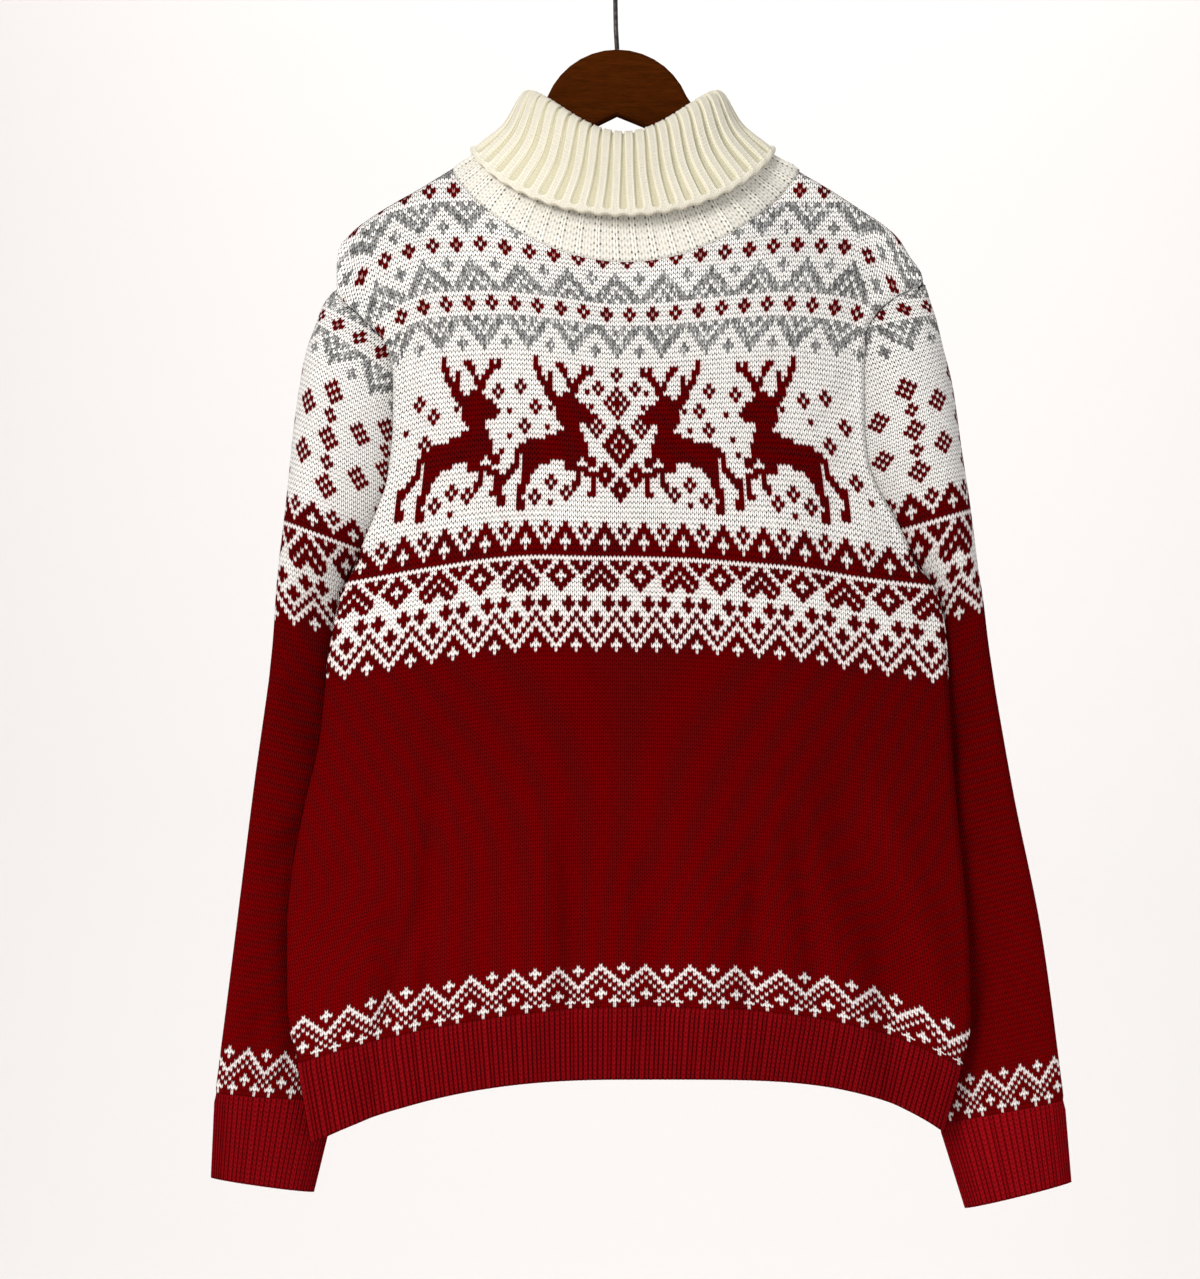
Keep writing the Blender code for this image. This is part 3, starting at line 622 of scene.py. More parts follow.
def mesh_object(name, points, quads, colours, stitch, flat, laps=0):
    """A mesh from quads (rows of four vertex numbers), with colours and two UV maps by corner."""
    used, quads = np.unique(quads, return_inverse=True)
    quads = quads.reshape(-1, 4)
    points = points.reshape(-1, 3)[used] * MM
    mesh = bpy.data.meshes.new(name)
    mesh.from_pydata(points.tolist(), [], quads.tolist())
    for title, values in (("OFBake", flat / flat.max() * 0.98 + 0.01), ("Stitch", stitch)):
        layer = mesh.uv_layers.new(name=title)
        layer.data.foreach_set("uv", np.asarray(values, np.float32).ravel())
    mesh.uv_layers.active = mesh.uv_layers["OFBake"]
    for title, values in (("knit", colours), ("laps", laps)):
        attribute = mesh.color_attributes.new(title, "FLOAT_COLOR", "CORNER")
        rgba = np.empty((len(quads), 4, 4), np.float32)
        rgba[...] = values
        attribute.data.foreach_set("color", rgba.ravel())
    mesh.shade_smooth()
    mesh.update()
    obj = bpy.data.objects.new(name, mesh)
    bpy.context.scene.collection.objects.link(obj)
    return obj


def grid_quads(count_k, count_r):
    """Vertex numbers of a grid's cells [k, r], and the cells' own k and r."""
    k, r = (a.ravel() for a in np.meshgrid(np.arange(count_k - 1), np.arange(count_r - 1), indexing="ij"))
    at = k * count_r + r
    return np.stack([at, at + count_r, at + count_r + 1, at + 1], axis=1), k, r


def face_normals(points, quads):
    """The quads' normals, each twice as long as its quad's area."""
    corners = points.reshape(-1, 3)[quads]
    return np.cross(corners[:, 2] - corners[:, 0], corners[:, 3] - corners[:, 1])


def vertex_normals(points, quads):
    total = np.zeros((points.size // 3, 3))
    for corner in range(4):
        np.add.at(total, quads[:, corner], face_normals(points, quads))
    return unit(total).reshape(points.shape)


SMALLEST_FACE = 0.2  # square millimetres: smaller ones, cut off by the piece's edges, are dropped
EDGE_ROUND = 6.0  # how far from a seam the cloth has its full thickness


def knit_sheet(name, points, seam_distance, outwards, cells, open_stitches, pitch, ridge, painted_shade=1):
    """A sheet of stitches: points[k, r] are row lines at every half stitch, cut at the piece's edges.

    Each stitch is two slanting legs, since the lines of the odd k lie half a row lower. A ridge in
    millimetres stands along a seam, and a factor of painted shade multiplies the colour.
    """
    quads, k, r = grid_quads(*points.shape[:2])
    keep = np.linalg.norm(face_normals(points, quads), axis=1) / 2 > SMALLEST_FACE
    quads, k, r = quads[keep], k[keep], r[keep]
    normals = vertex_normals(points, quads)
    if np.sum(normals * outwards) < 0:
        quads, normals = quads[:, ::-1], -normals
    points = points + normals * (CLOTH / 2 * ease(seam_distance / EDGE_ROUND) ** 0.5 + ridge)[..., None]
    corner_k, corner_r = np.divmod(quads.astype(float), points.shape[1])
    stitch = np.stack([corner_k / 2, corner_r], axis=-1)
    flat = stitch * pitch
    flat -= flat.min(axis=(0, 1))
    row, column = np.minimum(r, len(cells) - 1), k // 2
    colours = stitch_colours(cells, open_stitches)[row, column]
    each = (len(k), 1)
    grey = random.choice(size=each, **GREY_TONES) * random.uniform(*UNEVEN["grey_leg"], each)
    plain = random.uniform(*UNEVEN["leg"], each)
    colours[:, :3] *= np.where((cells[row, column] == "g")[:, None], grey, plain)
    colours = np.repeat(np.clip(colours, 0, 2)[:, None, :], 4, axis=1)
    colours[..., :3] *= np.broadcast_to(painted_shade, points.shape[:2]).ravel()[quads][..., None]
    laps = red_laps(cells, k, r, corner_k, corner_r)
    return mesh_object(name, points, quads, colours, stitch, flat, laps)


def stitch_lines(rows, columns):
    """Each row line in two halves, as the lines of the odd half columns lie half a row lower.

    Gives the line's number, its half columns, how many rows up and how many stitches out they are.
    """
    half_columns = np.arange(2 * columns + 1)
    for j in range(rows + 1):
        for odd in (0, 1):
            use = half_columns % 2 == odd
            yield j, use, min(j + 0.5 * (1 - odd), rows) if j else 0.0, (half_columns[use] - columns) / 2


ROW_HEIGHT = dict(  # height of the knitted rows at the middle of the panel
    row=(0, 11, 94, 106, 114, 120, 154, 163.75, 175.75, 200),
    z=(-726, -696.2, -489.8, -449.7, -426.4, -404.3, -294.9, -264.8, -228.8, -150),
)
STITCH_WIDTH = dict(
    row=(0, 60, 106, 120, 154, 163, 176, 200),
    width=(2.97, 2.83, 2.70, 2.66, 2.45, 2.54, 2.72, 2.84),
)
MIDDLE_STITCH = dict(row=(0, 60, 130, 149, 162, 174, 200), x=(3.8, 2, 2, -0.6, 0.6, -1.6, -2))
WIDER_OUT = dict(row=(0, 90, 130, 155), share=(0.5, 1, 1, 0))  # how far the outer stitches are stretched
STRETCH = dict(middle=0.025, outer=0.11, at=54)  # share lost in the middle, and gained this many stitches out
OPEN_STITCHES = dict(row=(0, 90, 115, 150, 170, 200), gap=(0.25, 0.3, 1.0, 1.1, 1.7, 2.5))
HEM_SHIFT = dict(  # how far the lowest stitches hang to the left
    x=(-225, -208, -177, -146, -26, 66, 94, 124, 154, 184, 215, 240),
    shift=(11, 10.9, 9.5, 3.2, 0, 1.8, 2, 3.9, 5.6, 6.8, 9.8, 11),
)
HEM_SHIFT_ROWS = (11, 45)  # between these rows it fades out
HEM_WAVE = dict(
    x=(-220, *range(-180, 241, 30)),
    rise=(-1, -2.4, 0.4, -1.4, 0.2, -0.6, -1.8, -0.3, -2.2, -0.4, -1.0, -1.2, -0.4, -1.6, -3.6, -4),
)
CHEST_BOW = dict(
    x=(-205, -179, -120, -80, -52, -23, 6, 45, 84, 122, 161, 183, 224),
    rise=(-19.5, -15.7, -6.1, -0.6, 1.0, 0.3, 0, -1, -3.8, -6.9, -13.3, -15.7, -19.6),
)
YOKE_BOW = dict(
    x=(-180, -151, -141, -120, -80, -39, 0, 29, 56, 84, 111, 145, 163, 180),
    rise=(-26, -4, 2.7, 8, 8.8, 4.8, 0, 0.7, 3.4, 6.8, 8.8, 6.8, 2.7, -12),
)
TOP_BOW = dict(
    x=(-190, -182, -171, -148, -120, -93, -66, -52, 0, 56, 84, 124, 158, 173, 182, 205),
    rise=(-30, -19, -4, 7.5, 13, 13, 8, 6, 0, 5, 8, 13, 13, 4.8, -7.5, -35),
)
BOWED_ROWS = (0, 114, 163, 176)  # where the hem's line and the three bows hold in full
WAVE_ROWS = (3, 10, 40)  # the hem's wave is full from the first to the second, and gone at the third


def row_z(x, row):
    """Height of a knitted row: level at the hem's line, bowed at the chest and waved over the yoke."""
    z = smooth(*ROW_HEIGHT.values(), row)
    z = z + smooth(*HEM_WAVE.values(), x) * ease(row / WAVE_ROWS[0]) * fade(row, *WAVE_ROWS[1:])
    bows = [hem_line(x, HEM_TOP) - HEM_TOP["middle"]]
    bows += [smooth(*bow.values(), x) for bow in (CHEST_BOW, YOKE_BOW, TOP_BOW)]
    return z + sum(np.interp(row, BOWED_ROWS, share) * bow for share, bow in zip(np.eye(4), bows))


def side_limit(edge, z):
    """The side seam and armhole, going straight up above the shoulder's tip."""
    return np.where(z > edge["armhole"]["z"][0], edge["armhole"]["x"][0], edge_x(edge, z))


def top_limit(x, face):
    """The neck seam and the shoulder seams over the panel."""
    shoulder = np.where(x < 0, *(smooth(*edge["shoulder"].values(), x) for edge in EDGES.values()))
    return np.where(np.abs(x - NECK_MIDDLE) < NECK_HALF - 1, neck_z(x, face), shoulder)


WIDEST = 262  # no edge of the body is as far out


def row_ends(row):
    """Where a row line meets the right and left edges."""
    ends = []
    for edge, reach in zip(EDGES.values(), (-WIDEST, WIDEST)):
        x = np.linspace(0, reach, 700)
        over = (x - side_limit(edge, row_z(x, row))) * np.sign(reach)
        first = np.argmax(over > 0)
        share = over[first - 1] / (over[first - 1] - over[first])
        ends.append(x[first - 1] + (x[first] - x[first - 1]) * share)
    return ends


SEWN_OVER = 0.6  # how far each panel's edge reaches past the plane of the side seams
SEAM_REACH, HEM_SEAM_REACH = 4.5, 4  # how far from a seam the panel and the rib bend to meet the other one
ARMHOLE_RIDGE = dict(height=1.6, inwards=3.5, width=2.6)  # the seam's allowance lifts the panel's edge
PANEL_STITCH = (2.75, 3.4)  # its usual size
FAR = 40  # beyond the reach of any seam


def make_panel(face, cells):
    """The rows bend with the body and are cut at its seams, where the two panels meet."""
    x = np.zeros((2 * cells.shape[1] + 1, len(cells) + 1))
    z, seam = x.copy(), x.copy()
    for j, use, row, column in stitch_lines(*cells.shape):
        width, middle = (smooth(*table.values(), row) for table in (STITCH_WIDTH, MIDDLE_STITCH))
        wider = STRETCH["outer"] * column**3 / (3 * STRETCH["at"] ** 2) - STRETCH["middle"] * column
        place = middle + width * (column + np.interp(row, *WIDER_OUT.values()) * wider)
        place = place + fade(row, *HEM_SHIFT_ROWS) * smooth(*HEM_SHIFT.values(), place)
        right, left = row_ends(row)
        x[use, j] = np.clip(place, right, left)
        z[use, j] = row_z(x[use, j], row)
        seam[use, j] = np.minimum(x[use, j] - right, left - x[use, j])
    top, armpit = top_limit(x, face), armhole_end(x, -1)
    below_top = np.maximum(top - z, 0)
    ridge = ARMHOLE_RIDGE["height"] * bell(seam - ARMHOLE_RIDGE["inwards"], ARMHOLE_RIDGE["width"])
    ridge = ridge * ease((z - armpit + 6) / 14)  # only beside the sleeve
    at_neck = np.abs(x - NECK_MIDDLE) < NECK_HALF
    sewn = np.minimum(seam + FAR * ease((z - armpit) / 12), np.where(at_neck, FAR, below_top))
    open_share = ease(sewn / SEAM_REACH)  # 0 where the side and shoulder seams join the two panels
    seam = np.minimum(np.minimum(seam, below_top), z - hem_line(x, HEM_TOP))
    z = np.minimum(z, top)
    sign = -1 if face == "front" else 1
    y = body_y(x, z, face) * open_share - SEWN_OVER * (1 - open_share)
    return knit_sheet(
        face + "_knit", np.stack([x, sign * y, z], axis=-1), np.maximum(seam, 0), (0, sign, 0),
        cells if face == "front" else cells[:, ::-1], OPEN_STITCHES, PANEL_STITCH, ridge,
    )


SLEEVE_SAMPLES, RING_SAMPLES = 900, 121  # points by which lengths along and round it are measured
CUFF_SEAM = 1.8  # the sleeve's edge at the cuff stays as thick as this far from another seam
SLEEVE_OPEN = dict(row=(0, 90, 110, 150, 172), gap=(0.25, 0.3, 0.7, 0.9, 1.5))
SLEEVE_SHADE = dict(right=1.0, left=0.6)  # how much painted shade darkens the wool's colour beside the body, by sleeve
# painted shade beside the body, by height: how far it reaches in millimetres and how dark it is
SHADE_REACH = dict(z=(-800, -640, -560, -430, -300), reach=(8, 12, 26, 24, 14))
SHADE_DEPTH = dict(z=(-800, -640, -560, -480, -300, -250), depth=(0.20, 0.22, 0.30, 0.40, 0.34, 0.26))
SLEEVE_STITCH = 2.95
SLEEVE_STITCH_WIDTH = dict(  # narrower towards the wrist, millimetres
    right=dict(row=(0, 30, 85), width=(2.48, 2.58, SLEEVE_STITCH)),
    left=dict(row=(0, 30, 85), width=(2.30, 2.42, SLEEVE_STITCH)),
)
SLEEVE_FIELD_PERIOD = 15  # stitches from one column of lozenges to the next of its kind
SLEEVE_RUN = dict(  # how far up the outer line each knitted row is
    right=dict(row=(0, 14, 94, 113, 120, 149, 192), run=(0, 42, 324, 389, 412, 510, 622)),
    left=dict(row=(0, 14, 94, 113, 120, 152, 192), run=(0, 39, 337, 404, 428, 523, 627)),
)
SLEEVE_BANDS = dict(
    right=dict(border=3, zigzag=-4, diamonds=10, teeth=2),
    left=dict(border=-3, zigzag=3, diamonds=9, teeth=0),
)
SLEEVE_FIELD = dict(right=dict(columns=(0, 8), grey=29), left=dict(columns=(2, 10), grey=32))


def sleeve_chart(side):
    """Colours as in panel_chart: two kinds of columns of lozenges above the teeth, then the grey bands."""
    cells, row = lower_bands(SLEEVE_ROWS, SLEEVE_HALF, **SLEEVE_BANDS[side])
    first, second = SLEEVE_FIELD[side]["columns"]
    for figure, start, rows in ((LOZENGE, first, (2, 12, 22)), (LOZENGE, second, (7, 17)), (FLOWER, first, (8, 18))):
        centres = range(start - 3 * SLEEVE_FIELD_PERIOD, SLEEVE_HALF + 3, SLEEVE_FIELD_PERIOD)
        for low, centre in itertools.product(rows, centres):
            motif(cells, figure, row + low, SLEEVE_HALF + centre)
    yoke_bands(cells, row + SLEEVE_FIELD[side]["grey"], SLEEVE_HALF)
    return cells


def make_sleeve(side):
    """Rings from the cuff up to the shoulder's tip, open towards the body above the armpit."""
    cells = sleeve_chart(side)
    table, edge = SLEEVES[side], EDGES[side]
    armpit_z = table["inner_z"][ARMPIT]

    def row_at(z):
        return {name: smooth(table["inner_z"], values, z) for name, values in table.items()}

    heights = np.linspace(table["inner_z"][-1], table["inner_z"][0], SLEEVE_SAMPLES)
    outer = row_at(heights)
    run = running(np.hypot(np.diff(outer["outer_x"]), np.diff(outer["outer_z"])))
    rows, widths = SLEEVE_RUN[side], SLEEVE_STITCH_WIDTH[side]
    count = int(np.interp(run[-1], rows["run"], rows["row"]))
    turns = np.linspace(-1, 1, RING_SAMPLES)
    points = np.zeros((2 * cells.shape[1] + 1, count + 1, 3))
    seam, up, round_sleeve = (np.zeros(points.shape[:2]) for _ in range(3))
    for j, use, row, column in stitch_lines(count, cells.shape[1]):
        height = run[-1] if row >= count else np.interp(row, *rows.values())
        z = np.interp(height, run, heights)
        at = row_at(z)
        if z > armpit_z:
            inner_x = edge_x(edge, z)
            front_y, back_y = -body_y(inner_x, z, "front"), body_y(inner_x, z, "back")
        else:
            inner_x, front_y, back_y = at["inner_x"], at["inner_y"], at["inner_y"]
        ring = sleeve_ring(turns, at, inner_x, z, front_y, back_y)
        length = running(np.linalg.norm(np.diff(ring, axis=0), axis=1))
        length -= length[len(turns) // 2]
        place = np.clip(column * np.interp(row, *widths.values()), length[0], length[-1])
        for axis in range(3):
            points[use, j, axis] = np.interp(place, length, ring[:, axis])
        seam[use, j] = np.minimum(place - length[0], length[-1] - place)
        up[use, j], round_sleeve[use, j] = height, place
    outwards = points - points.mean(axis=0, keepdims=True)
    outwards[:, RED_ROWS:] = 0  # where the sleeve is a whole tube
    x, z = points[..., 0], points[..., 2]
    # painted shade: the sleeve's colour is darkened beside the body and the armhole seam, where the body shades it
    under = np.maximum((x - edge_x(edge, z)) * np.sign(x), 0)
    reach, deep = np.interp(z, *SHADE_REACH.values()), np.interp(z, *SHADE_DEPTH.values())
    painted_shade = 1 - deep * SLEEVE_SHADE[side] * np.exp(-np.where(z < armpit_z, under, seam) / reach)
    return knit_sheet(
        "sleeve_" + side + "_knit", points, np.minimum(seam, up + CUFF_SEAM), outwards, cells, SLEEVE_OPEN,
        (SLEEVE_STITCH, 3.45), -crease_depth(round_sleeve, up, SLEEVE_CREASES), painted_shade,
    )


# --- ribbed walls ---


def grid_normals(middle, outwards, closed=False):
    """Unit normals of a grid of points, by differences along its two directions."""
    if closed:
        along_u = np.roll(middle, -1, axis=0) - np.roll(middle, 1, axis=0)
    else:
        along_u = np.gradient(middle, axis=0)
    normals = unit(np.cross(along_u, np.gradient(middle, axis=1)))
    return normals * np.sign(np.sum(normals * outwards))


FLAT_GAP = 4.0  # between the outer and the inner face where the wall is laid out flat


def rib_wall(name, outside, inside, stitch, colours, pitch, closed=False):
    """A solid wall between two grids; stitch[k, r] is the knitting's UV and colours[k, r] its colour.

    The first column of a closed one is added again at its end, further on in the knitting's UV.
    """
    if closed:
        outside, inside, colours = (np.concatenate([a, a[:1]]) for a in (outside, inside, colours))
        further = 2 * stitch[-1, 0, 0] - stitch[-2, 0, 0] - stitch[0, 0, 0]
        stitch = np.concatenate([stitch, stitch[:1] + [further, 0]])
    count_k, count_r = outside.shape[:2]
    size = count_k * count_r
    quads = grid_quads(count_k, count_r)[0]
    number = np.arange(size).reshape(count_k, count_r)
    ring = np.concatenate([number[:, 0], number[-1, 1:], number[-2::-1, -1], number[0, -2::-1]])
    rim = np.stack([ring[1:], ring[:-1], ring[:-1] + size, ring[1:] + size], axis=1)
    if closed:
        rim = rim[ring[:-1] % count_r == ring[1:] % count_r]
    every = np.concatenate([quads, quads[:, ::-1] + size, rim])
    points = np.concatenate([outside.reshape(-1, 3), inside.reshape(-1, 3)])
    if np.sum(points[every].mean(axis=1) * face_normals(points, every)) < 0:
        every = every[:, ::-1]
    uv = np.concatenate([stitch.reshape(-1, 2)] * 2)[every]
    tint = np.concatenate([colours.reshape(-1, 4)] * 2)[every]
    corner_k, corner_r = np.divmod(every % size, count_r)
    across, along = pitch
    below = (every >= size) * (count_r * along + FLAT_GAP)
    flat = np.stack([corner_k * across, corner_r * along + below], axis=-1)
    if closed:
        every = np.where(corner_k == count_k - 1, every - (count_k - 1) * count_r, every)
    return mesh_object(name, points, every, tint, uv, flat)


RIB_COLUMNS = 6  # of the mesh, a rib
HEM_RIB_WIDTH = 3.25
CUFF_RIBS = 62
# painted light: the left cuff's red is brightened, as lit more strongly than the right
CUFF_PAINTED_LIGHT = dict(right=1.0, left=1.16)
HEM_MESH = (HEM_RIB_WIDTH / RIB_COLUMNS, 3.3)  # a face's size along the cloth
CUFF_MESH = (0.6, 3.4)
RIBBED = dict(  # seam: share of the cloth left there; edge: share of the ribs left; valley: share of the colour left by painted shade in the valleys
    hem=dict(height=1.1, seam=0.0, edge=0.4, levels=16, length=49, valley=0.38, mesh=HEM_MESH),
    cuff=dict(height=0.8, seam=0.4, edge=1.0, levels=18, length=58, valley=0.50, mesh=CUFF_MESH),
)
RIB_ROUND, RIB_SINK = 0.7, 0.3  # power under 1 for broad ribs, and how deep the valleys lie in the cloth
RIB_START, RIB_FINISH = 0.12, 0.05  # shares of the length over which the ribs begin and end
RIB_ROW = 3.2  # height of its knitted rows
RIB_OPEN = 0.4  # how open its stitches are
RIB_UNEVEN = dict(shift=(-0.2, 0.2), high=(0.8, 1.1), bright=(0.94, 1.06), stitch=(0.97, 1.03))


def uneven_ribs(ribs, closed=False):
    """Places of the columns over uneven ribs, in ribs, and how high and how bright each column's rib is."""
    shift = random.uniform(*RIB_UNEVEN["shift"], ribs + 1)
    high, bright = (random.uniform(*RIB_UNEVEN[key], ribs) for key in ("high", "bright"))
    shift[0] = shift[-1] = 0
    columns = np.arange(ribs * RIB_COLUMNS + (0 if closed else 1)) / RIB_COLUMNS
    rib = np.minimum(columns.astype(int), ribs - 1)
    return columns + np.interp(columns, np.arange(ribs + 1), shift), high[rib][:, None], bright[rib][:, None]


def red_ribs(form, middle, normals, high, bright):
    """The outside, inside, knitting and colours of a ribbed piece from its seam to its edge.

    Its colours are darkened with painted shade in the valleys between the ribs, and end with how open the stitches
    are.
    """
    level, phase = np.linspace(0, 1, form["levels"]), np.arange(len(middle))[:, None] / RIB_COLUMNS
    rib = np.broadcast_to((0.5 - 0.5 * np.cos(2 * math.pi * phase)) ** RIB_ROUND, middle.shape[:2])
    start, finish = ease(level / RIB_START), np.sqrt(np.clip((1 - level) / RIB_FINISH, 0, 1))
    raised = (form["height"] * rib * high - RIB_SINK) * start * (form["edge"] + (1 - form["edge"]) * finish)
    outside = middle + normals * (CLOTH / 2 * (form["seam"] + (1 - form["seam"]) * start) + raised)[..., None]
    inside = middle - normals * (CLOTH / 2 * (0.3 + 0.7 * start))[..., None]
    rows = (1 - level) * form["length"] / RIB_ROW - np.abs(phase % 1 - 0.5)
    stitch = np.stack([np.broadcast_to(phase, rows.shape), rows], axis=-1)
    # painted shade: the red is darkened in the valleys between the ribs
    deep = (form["valley"] + (1 - form["valley"]) * rib**1.8)[..., None]
    colours = np.array(RIB_RED) * deep * random.uniform(*RIB_UNEVEN["stitch"], deep.shape) * bright[..., None]
    return outside, inside, stitch, np.concatenate([colours, np.full(deep.shape, RIB_OPEN)], axis=-1)


def make_hem(face):
    """A level rib sewn to the panel; its ends meet the other hem's."""
    sign, form = -1 if face == "front" else 1, RIBBED["hem"]
    corner_z = HEM_TOP["middle"] - HEM_TOP["drop"][0]
    right, left = (edge_x(edge, corner_z) for edge in EDGES.values())
    low_right, low_left = (edge["side"]["x"][-1] for edge in EDGES.values())
    ribs = round((left - right) / HEM_RIB_WIDTH)
    place, high, bright = uneven_ribs(ribs)
    across = place[:, None] / ribs
    from_side = np.minimum(across, 1 - across)
    top_x = right + (left - right) * across
    low_x = low_right + (low_left - low_right) * across
    top_z, low_z = hem_line(top_x, HEM_TOP), hem_line(low_x, HEM_END)
    if face == "back":
        low_z = low_z + BACK_HEM_RISE * ease(from_side / RIB_START)
    level = np.linspace(0, 1, form["levels"])
    x, z = top_x + (low_x - top_x) * level, top_z + (low_z - top_z) * level
    middle = np.stack([x, sign * body_y(x, z, face), z], axis=-1)
    outside, inside, *looks = red_ribs(form, middle, grid_normals(middle, (0, sign, 0)), high, bright)
    open_share = ease(from_side * (left - right) / HEM_SEAM_REACH)
    for points, at_seam in ((outside, SEWN_OVER), (inside, -SEWN_OVER)):
        y = np.maximum(sign * points[..., 1], SEAM / 2)
        points[..., 1] = sign * (y * open_share + at_seam * (1 - open_share))
    return rib_wall("hem_" + face + "_rib", outside, inside, *looks, form["mesh"])


def make_cuff(side):
    """A tube of ribs from the sleeve's last ring to the cuff's end."""
    end, form = CUFF_END[side], RIBBED["cuff"]
    place, high, bright = uneven_ribs(CUFF_RIBS, closed=True)
    angle, level = (place * 2 * math.pi / CUFF_RIBS)[:, None], np.linspace(0, 1, form["levels"])
    at = {name: SLEEVES[side][name][-1] * (1 - level) + end[name] * level for name in end}
    share = (1 + np.cos(angle)) / 2
    x, y, z = (at["inner_" + axis] + (at["outer_" + axis] - at["inner_" + axis]) * share for axis in "xyz")
    middle = np.stack([x, y - at["bulge"] * np.sin(angle), z], axis=-1)
    normals = grid_normals(middle, middle - middle.mean(axis=0), closed=True)
    walls = red_ribs(form, middle, normals, high, bright * CUFF_PAINTED_LIGHT[side])
    return rib_wall("cuff_" + side + "_rib", *walls, form["mesh"], closed=True)


COLLAR_COLUMNS = 16  # a rib
COLLAR_STEPS = (10, 6, 5, 5, 6, 8, 20)  # between one ring and the next
COLLAR_MEAN = dict(half=96, deep=50)  # the ellipse round which the ribs are evenly spaced
GROOVE_HALF = dict(path=(3.6, 4.0, 5.0, 6.0, 7.0), share=(0.07, 0.09, 0.13, 0.19, 0.225))
GROOVE_END = 6.77  # where the grooves' round ends begin, between the last two rings
RIB_MM, RING_MM = 12.0, 23.0  # a rib's and the last turn's sizes along the cloth
FLAP_START = 3.2  # where the cloth turns over and the broad ribs begin
FLAP_RIB, EDGE_WALE, LIP, WAVE = 1.9, 0.35, 0.4, 0.7  # heights of the flap's forms
STAND_RIB = 1.1  # height of the stand's stitches
COLLAR_MESH = (0.8, 1.9)  # a face's size along the cloth
FLAP_STITCHES, STAND_STITCHES = (6, 13), (3, 6.5)  # a rib across and a ring along


def collar_middle(angle):
    """The collar's middle surface from the neck seam up, over the fold and down."""
    x = NECK_MIDDLE + NECK_HALF * np.sin(angle)
    cosine = np.abs(np.cos(angle))
    lines = []
    for sign, face in ((-1, "front"), (1, "back")):
        z = NECK_SIDE_Z - NECK_DROP[face] * cosine ** NECK_POWER[face]
        lines.append(np.stack([x, sign * body_y(x, z, face), z], axis=-1))
    base = np.where((np.cos(angle) >= 0)[:, None], *lines)
    rings = np.concatenate([base[:, None], ring_points(angle)], axis=1)
    padded = np.concatenate([2 * rings[:, :1] - rings[:, 1:2], rings, 2 * rings[:, -1:] - rings[:, -2:-1]], axis=1)
    lines = []
    for i, steps in enumerate(COLLAR_STEPS):
        a, b, c, d = (padded[:, i + n] for n in range(4))
        for t in np.arange(steps) / steps:
            curve = (2 * a - 5 * b + 4 * c - d) * t**2 + (3 * b - a - 3 * c + d) * t**3
            lines.append(0.5 * (2 * b + (c - a) * t + curve))
    lines.append(rings[:, -1])
    return np.stack(lines, axis=1)


def make_collar():
    """A standing tube of fine ribs from the neck seam, turned down outwards into broad ones."""
    turn = np.linspace(-math.pi, math.pi, 3601)
    run = np.hypot(COLLAR_MEAN["half"] * np.cos(turn), COLLAR_MEAN["deep"] * np.sin(turn))
    run = running((run[1:] + run[:-1]) / 2)
    phase = np.arange(COLLAR_RIBS * COLLAR_COLUMNS)[:, None] / COLLAR_COLUMNS
    middle = collar_middle(np.interp(phase[:, 0] / COLLAR_RIBS * run[-1], run, turn))
    outwards = np.zeros_like(middle)
    outwards[:, 1, :2] = middle[:, 0, :2] - (COLLAR_MIDDLE, 0)
    normals = grid_normals(middle, outwards, closed=True)
    path = [i + np.arange(steps) / steps for i, steps in enumerate(COLLAR_STEPS)]
    path = np.concatenate(path + [[len(COLLAR_STEPS)]])  # 0 at the seam, 4 at the fold's top, 7 at the lower edge
    seam, fold = ease(path / 0.25), ease((path - FLAP_START) / 0.9)

    # the flap: broad ribs with a raised stitch along each side of a groove
    off_rib = np.abs(phase % 1 - 0.5)
    from_groove = (0.5 - off_rib) * RIB_MM
    past = np.maximum(path - GROOVE_END, 0) * RING_MM
    from_edge = np.hypot(from_groove, past) - np.interp(path, *GROOVE_HALF.values()) * RIB_MM
    plateau = ease((from_edge + 0.5) / 1.3)
    edge_wale = bell(from_edge - 1.0, 0.55)
    fold_height = FLAP_RIB * plateau + EDGE_WALE * edge_wale + LIP * bell(path - 6.93, 0.06)
    wave = WAVE * np.cos(2 * math.pi * phase) * ease((path - 6.5) / 0.5)
    # painted shade: the grooves take the darker groove colour; painted highlight brightens the raised stitch beside
    # each groove, with painted highlight and shade across the wales of the ribs
    colours = np.array(SHADED_GROOVE) + (np.array(CREAM) - np.array(SHADED_GROOVE)) * plateau[..., None]
    wales = np.cos(2 * math.pi * from_groove / 2.1)
    colours = colours * (1 + 0.17 * edge_wale + 0.05 * plateau * wales)[..., None]

    # the stand: pairs of raised stitches brightened with painted highlight, with more open ones beside them darkened
    # with painted shade
    stand = bell(off_rib - 0.083, 0.042)
    beside = bell(off_rib - 0.167, 0.040) + 0.6 * bell(off_rib, 0.028)
    ground = np.array(STAND) * (0.84 + 0.24 * np.minimum(stand, 1) - 0.16 * beside)[..., None]

    outside = middle + normals * (CLOTH / 2 * seam + STAND_RIB * stand * ease(path / 0.4) * (1 - fold))[..., None]
    inside = middle - normals * (CLOTH / 2 * (0.2 + 0.8 * seam) + fold_height * fold)[..., None]
    for points in (outside, inside):
        points[..., 2] += wave
    columns, rows = np.where(path[:, None] > FLAP_START, FLAP_STITCHES, STAND_STITCHES).T
    across = phase * columns
    stitch = np.stack([across, path * rows - np.abs(across % 1 - 0.5)], axis=-1)
    colours = colours * fold[:, None] + ground * (1 - fold)[:, None]
    gap = 0.12 + (1 - fold) * (0.35 + 1.5 * beside) * (1 - 0.8 * stand)
    colours = np.concatenate([np.minimum(colours, 0.97), gap[..., None]], axis=-1)
    return rib_wall("collar_rib", outside, inside, stitch, colours, COLLAR_MESH, closed=True)


# --- materials ---


